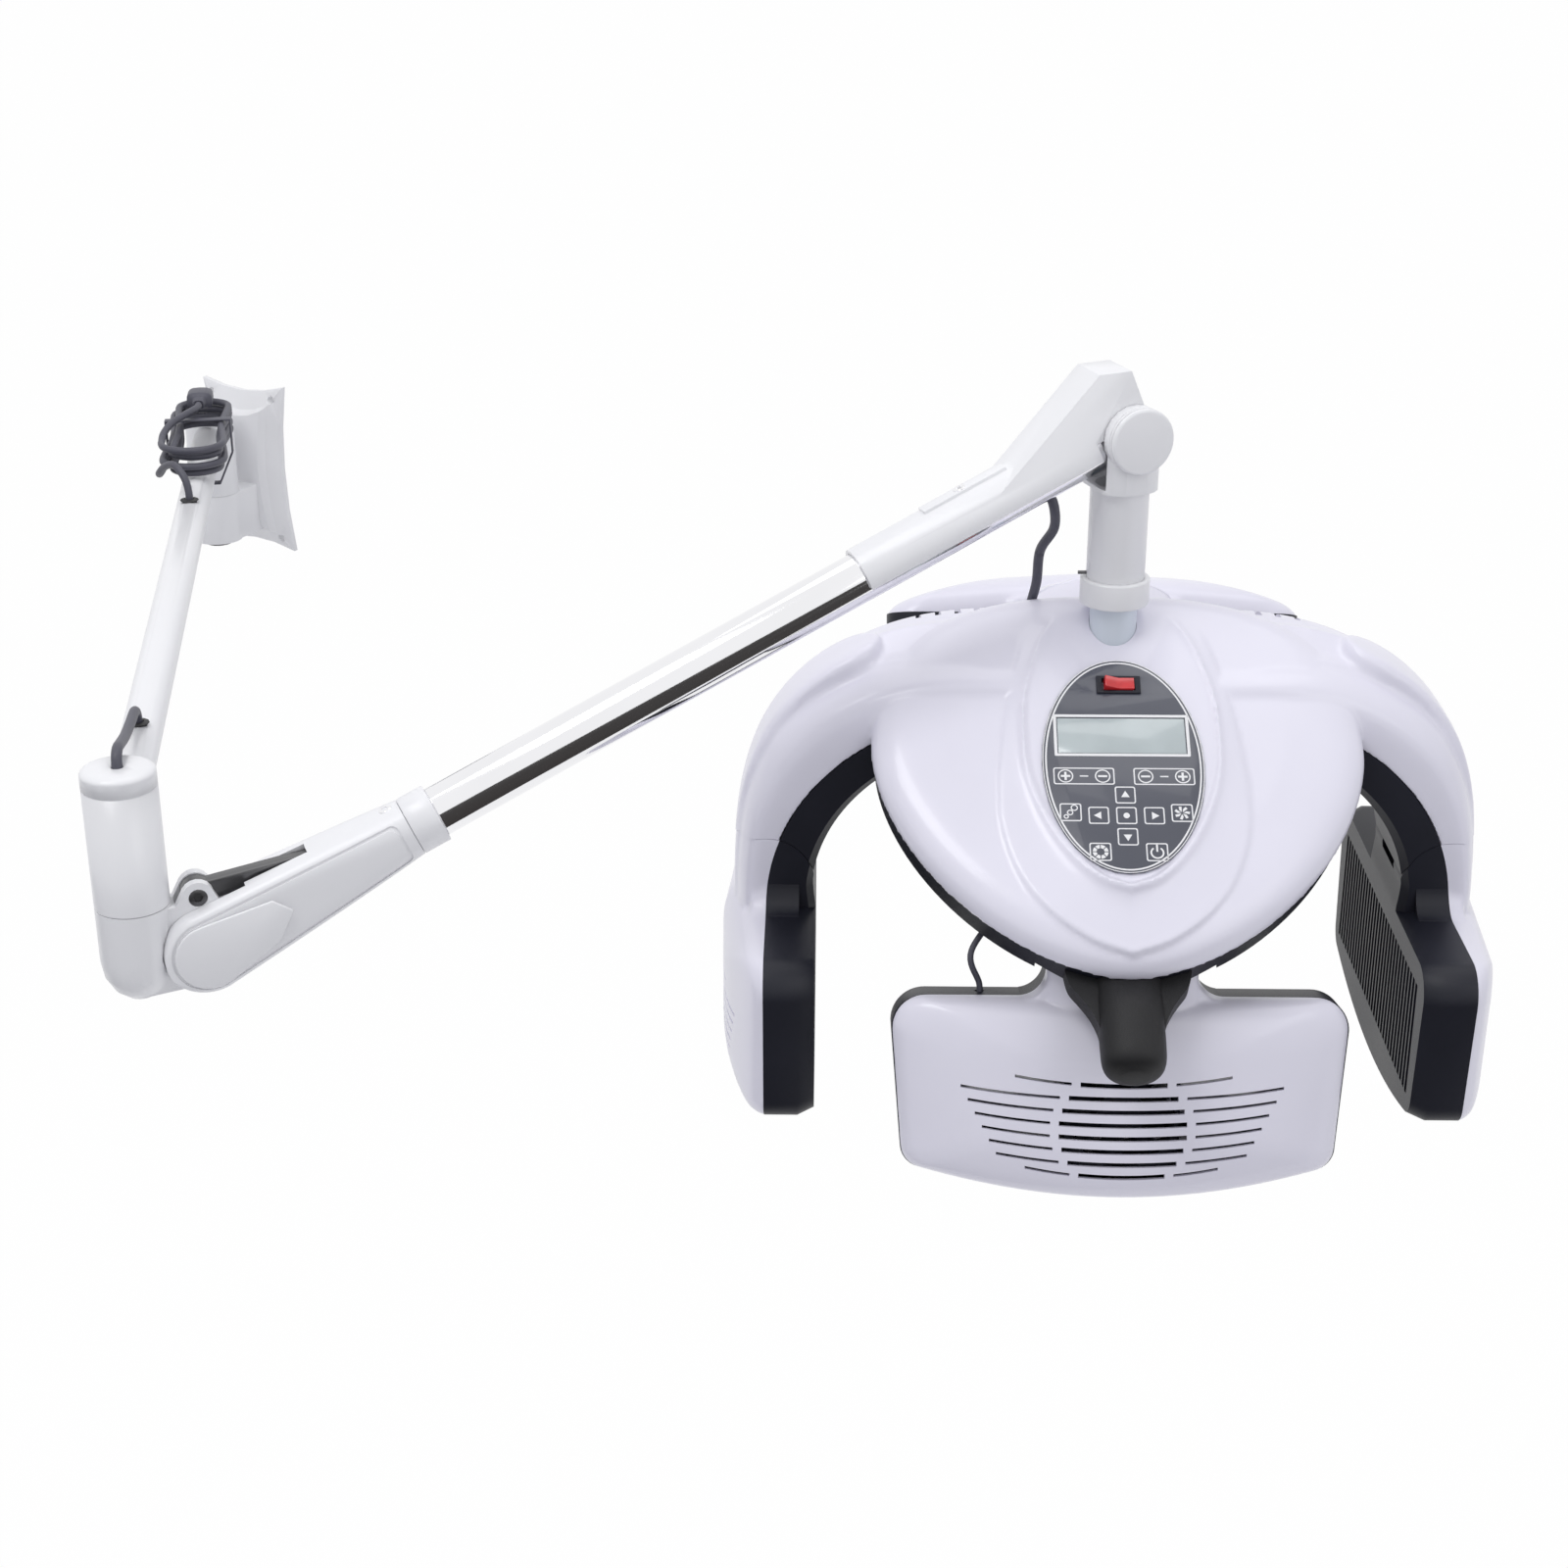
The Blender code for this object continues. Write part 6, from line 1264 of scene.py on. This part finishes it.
post_line = ring(POST_R + 0.01, POST_R - POST_GROOVE, POST_TOP - 0.0078, POST_TOP - 0.0066)
rounded("elbow_post", 0.0006, POST, (POST_R,), cutter=placed(post_line, POST))


def housing_form(inset):
    """The tapered housing's outer form, drawn in by an inset."""
    sections = []
    round_end = [(-0.985 + 0.05 * k) * HOUSING_END_R for k in range(20)]
    for x in [*round_end, *stations(0.0, HOUSING_LENGTH, 8)]:
        share = max(0.0, x / HOUSING_LENGTH)
        end = HOUSING_END_R * sqrt(1 - min(0.0, x / HOUSING_END_R) ** 2)
        half_h = end + (HOUSING_TIP_R - HOUSING_END_R) * share
        half_w = HOUSING_W / 2 + (HOUSING_TIP_R - HOUSING_W / 2) * share
        shape = superellipse(half_w - inset, max(0.001, half_h - inset), 7.0 - 4.6 * share, 96)
        sections.append([(x, y, z) for y, z in shape])
    return loft(sections)


def housing_line(inset):
    """Outline of the bead on a side of the housing."""
    end = HOUSING_END_R - inset
    tip = HOUSING_TIP_R - inset
    x = HOUSING_LENGTH - 0.003 - inset
    return [*arc(0, 0, end, end, 92, 268, 24), *arc(x - 0.005, 0.005 - tip, 0.005, 0.005, -85, 0, 6),
            *arc(x - 0.005, tip - 0.005, 0.005, 0.005, 0, 85, 6)]


bead = placed(plate(housing_line(BEAD_OUTER), -0.1, 0.1, [housing_line(BEAD_INNER)]), UPRIGHT)
bolt_reach = hypot(BOLT_BACK, BOLT_RISE) + BOLT_LUG_R + 0.002
band = TONGUE_T / 2 + RUN
rod_room = ROD_T / 2 + 0.002
mouth = [(0.030, y, z) for y, z in rectangle(0, 0.013, 2 * rod_room, 0.046)]
throat = [(HOUSING_LENGTH, y, z) for y, z in rectangle(0, -0.0015, 2 * rod_room, 0.023)]
housing = cut(housing_form(0.0), placed(rod(bolt_reach, -band, band), TO_Y),
              box((-0.1, 0), (-band, band), (-0.1, 0.1)), loft([mouth, throat]),
              placed(rod(TUBE_R + GAP, HOUSING_LENGTH - TUBE_SOCKET, 1), TO_X),
              placed(rod(TILT_PIN_R + GAP, -1, 1), TO_Y), cut(bead, housing_form(BEAD_DEPTH)))
fine("lower_arm_housing", housing, TILT)


def hexagon(radius, low, high):
    return plate(arc(0, 0, radius, radius, 0, 300, 5), low, high)


def socket_screw(radius, high):
    """Screw head with a six-sided socket."""
    profile = [(0, -0.002), (radius, -0.002), (radius, high - 0.0003), (radius - 0.0003, high), (0, high)]
    return cut(turned(profile, 48), hexagon(0.5 * radius, high - 0.0008, high + 0.01))


bolt = ELBOW @ shift(TILT_X - BOLT_BACK, 0, TILT_Z + BOLT_RISE)
half_bolt = max(abs((bolt.inverted() @ v.co).y) for v in NODES["spring_bolt"].data.vertices)
core = box((-1, 1), (-1, 1), (BOLT_SOCKET_DEPTH - half_bolt, half_bolt - BOLT_SOCKET_DEPTH))
socket = placed(cut(hexagon(BOLT_SOCKET_R, -0.1, 0.1), core), TO_Y)
rounded("spring_bolt", 0.0005, bolt @ TO_Y, (BOLT_R,), cutter=placed(socket, bolt))
pin = placed(rod(STEM_PIN_R, STEM_R - 0.002, STEM_R + 0.006), TO_X, turn(STEM_PIN_TURN, 'Z'),
             shift(z=COLLAR2_HIGH - PIVOT_HEIGHT + 0.0028))
piece("stem_pin", pin, PIVOT, "steel", "stem")
for name, along, radius, seat in (
        ("housing_screw", HOUSING_LENGTH - 0.009, 0.0048, HOUSING_TIP_R + 0.0004),
        ("cover_screw", ARM2_LENGTH - 0.125, 0.0044, TUBE_R + COVER_T + 0.0018)):
    piece(name, socket_screw(radius, SCREW_H), TILT @ shift(along, 0, seat), "chrome_plate", "second_arm")
for node, item in NODES.items():
    item.data.materials.clear()
    item.data.materials.append(LOOK[SLOT_OF[node]])
    item.data.shade_smooth()
    item.data.set_sharp_from_angle(angle=SHARP)

# Signs printed on the panel: rings, boxes, plus, minus and arrows
PRINT_LOW = GAP + PANEL_T
PRINT_HIGH = PRINT_LOW + 0.00012
LINE = 0.0009
PAIR_U, PAIR_V = 0.0278, -0.0100  # boxes with a plus and a minus, either side of the middle
PLUS_U, MINUS_U = 0.0406, 0.0149
SIDE_U, SIDE_V = 0.0383, -0.0392  # boxes beside the arrows
LOW_U, LOW_V = 0.0193, -0.0703  # and below them


def disc(u, v, radius):
    return arc(u, v, radius, radius, 0, 348.75, 31)


def soft_box(u, v, width, height, corner=0.0016):
    points = []
    for k, (su, sv) in enumerate(((1, 1), (-1, 1), (-1, -1), (1, -1))):
        points += arc(u + su * (width / 2 - corner), v + sv * (height / 2 - corner), corner, corner,
                      90 * k, 90 * k + 90, 4)
    return points


def sign(outline, holes=()):
    return plate(outline, PRINT_LOW, PRINT_HIGH, holes)


def framed(u, v, size):
    width, height = size
    return sign(soft_box(u, v, width, height), [soft_box(u, v, width - 2 * LINE, height - 2 * LINE, 0.001)])


def hoop(u, v, radius, line=LINE):
    return sign(disc(u, v, radius), [disc(u, v, radius - line)])


def oval(inset):
    return arc(0, 0, PANEL_W / 2 - inset, PANEL_L / 2 - inset, 0, 357, 119)


def bar(u, v, width, height):
    return sign(rectangle(u, v, width, height))


def cross(u, v, reach, line):
    points = []
    for a, b in ((1, 0), (0, 1), (-1, 0), (0, -1)):
        points += [(u + a * reach + b * line / 2, v + b * reach - a * line / 2),
                   (u + a * reach - b * line / 2, v + b * reach + a * line / 2),
                   (u + (a - b) * line / 2, v + (a + b) * line / 2)]
    return sign(points)


def arrow(u, v, turn_by):
    c, s = cos(turn_by), sin(turn_by)
    return sign([(u + 0.0034 * (x * c - y * s), v + 0.0034 * (x * s + y * c))
                 for x, y in ((1.0, 0.0), (-0.5, 0.87), (-0.5, -0.87))])


signs = [sign(oval(0.0004), [oval(0.0010)]), sign(oval(0.0022), [oval(0.0034)]),
         sign(soft_box(0, LCD_V - PANEL_V, LCD_W + 0.0048, LCD_H + 0.0048, 0.001),
              [rectangle(0, LCD_V - PANEL_V, LCD_W + 0.0006, LCD_H + 0.0006)])]
for side in (-1, 1):
    signs += [framed(side * PAIR_U, PAIR_V, (0.0424, 0.0136)), hoop(side * PLUS_U, PAIR_V, 0.0054),
              hoop(side * MINUS_U, PAIR_V, 0.0054), cross(side * PLUS_U, PAIR_V, 0.0033, 0.0016),
              bar(side * MINUS_U, PAIR_V, 0.0064, 0.0015), bar(side * PAIR_U, PAIR_V, 0.0058, 0.0010)]
for u, v, way in ((0, -0.0251, 90), (-0.0191, -0.0415, 180), (0, -0.0415, None), (0.0191, -0.0415, 0),
                  (0, -0.0583, 270)):
    mark = sign(disc(u, v, 0.0022)) if way is None else arrow(u, v, radians(way))
    signs += [framed(u, v, (0.0142, 0.0136)), mark]
for side in (-1, 1):
    signs += [framed(side * SIDE_U, SIDE_V, (0.0150, 0.0142)), framed(side * LOW_U, LOW_V, (0.0150, 0.0142))]
for du, dv, radius in ((-0.0032, -0.0034, 0.0018), (-0.0004, -0.0002, 0.0022), (0.0026, 0.0036, 0.0025)):
    signs.append(hoop(du - SIDE_U, SIDE_V + dv, radius, 0.0008))
blade = ((0.0008, 0.0), (0.0028, 0.0014), (0.0054, 0.0010), (0.0050, -0.0009), (0.0028, -0.0004))
for k in range(7):
    c, s = cos(2 * pi * k / 7), sin(2 * pi * k / 7)
    signs.append(sign([(SIDE_U + x * c - y * s, SIDE_V + x * s + y * c) for x, y in blade]))
for k in range(8):
    signs.append(sign([*arc(-LOW_U, LOW_V, 0.0054, 0.0054, 45 * k + 4, 45 * k + 41, 5),
                       *arc(-LOW_U, LOW_V, 0.0028, 0.0028, 45 * k + 39, 45 * k + 6, 4)]))
signs += [sign([*arc(LOW_U, LOW_V - 0.0004, 0.0048, 0.0048, 125, 415, 24),
                *arc(LOW_U, LOW_V - 0.0004, 0.0036, 0.0036, 415, 125, 24)]),
          bar(LOW_U, LOW_V + 0.0032, 0.0013, 0.0056)]
piece("panel_print", group(*signs), HEAD @ ON_SLOPE @ shift(y=PANEL_V), "print_white", "head")

# Light, floor and background
def seen_by(tree, first, *others):
    """Socket that is one for the kinds of ray named."""
    rays = add(tree, "LightPath")
    socket = rays.outputs[first]
    for kind in others:
        either = add(tree, "Math")
        either.operation = 'MAXIMUM'
        tree.links.new(socket, either.inputs[0])
        tree.links.new(rays.outputs[kind], either.inputs[1])
        socket = either.outputs[0]
    return socket


def mixed(tree, share, first, second, output):
    """Two shaders mixed by a share into a tree's output."""
    mix = add(tree, "MixShader")
    tree.links.new(share, mix.inputs["Fac"])
    tree.links.new(first.outputs[0], mix.inputs[1])
    tree.links.new(second.outputs[0], mix.inputs[2])
    tree.links.new(mix.outputs[0], tree.nodes[output].inputs["Surface"])


def level_sheet(name, x, y, z):
    """One flat face from (low, high) pairs at a height."""
    mesh = bpy.data.meshes.new(name)
    corners = ((x[0], y[0]), (x[1], y[0]), (x[1], y[1]), (x[0], y[1]))
    mesh.from_pydata([(*corner, z) for corner in corners], [], [(0, 1, 2, 3)])
    return linked(name, mesh)


world = bpy.data.worlds.new("studio")
world.use_nodes = True
SCENE.world = world
tree = world.node_tree
back = tree.nodes["Background"]
set_inputs(back, dict(Color=(0.94, 0.95, 1.0, 1), Strength=0.58))
white = add(tree, "Background", Color=(1, 1, 1, 1), Strength=1.0)
seen = seen_by(tree, "Is Camera Ray", "Is Glossy Ray", "Is Transmission Ray")
mixed(tree, seen, back, white, "World Output")


def lamp_area(name, place, aim, size, power):
    light = bpy.data.lights.new(name, 'AREA')
    light.shape = 'RECTANGLE'
    light.size, light.size_y = size
    light.energy = power
    item = linked(name, light)
    item.location = place
    item.rotation_euler = (Vector(aim) - Vector(place)).to_track_quat('-Z', 'Y').to_euler()


lamp_area("key", (0.2, -1.9, 2.7), (0.9, -0.5, 0.0), (1.6, 1.2), 30)
lamp_area("side", (3.0, -1.2, 1.4), (0.9, -0.4, 0.0), (1.2, 1.6), 8)
lamp_area("top", (0.7, 0.2, 2.6), (0.8, -0.5, 0.0), (2.2, 1.6), 14)

floor = level_sheet("floor", (-30, 30), (-30, 30), -1.2)
pale = bpy.data.materials.new("pale_floor")
pale.use_nodes = True
tree = pale.node_tree
ground = tree.nodes["Principled BSDF"]
set_inputs(ground, dict(Base_Color=(0.86, 0.86, 0.87, 1), Roughness=0.9))
glow = add(tree, "Emission", Color=(1, 1, 1, 1))
share = add(tree, "Math")
share.operation = 'MULTIPLY'
share.inputs[1].default_value = 0.985
tree.links.new(seen_by(tree, "Is Camera Ray", "Is Glossy Ray"), share.inputs[0])
mixed(tree, share.outputs[0], ground, glow, "Material Output")
floor.data.materials.append(pale)

# Dark card low in front, seen only in polished faces
card = level_sheet("card", (-6, 8), (-12, -0.9), -1.12)
card.data.materials.append(finish("dark_card", (0.030, 0.026, 0.024), 0.9))
card.visible_camera = False
card.visible_diffuse = False
card.visible_transmission = False
card.visible_shadow = False

SCENE.view_settings.view_transform = 'Standard'
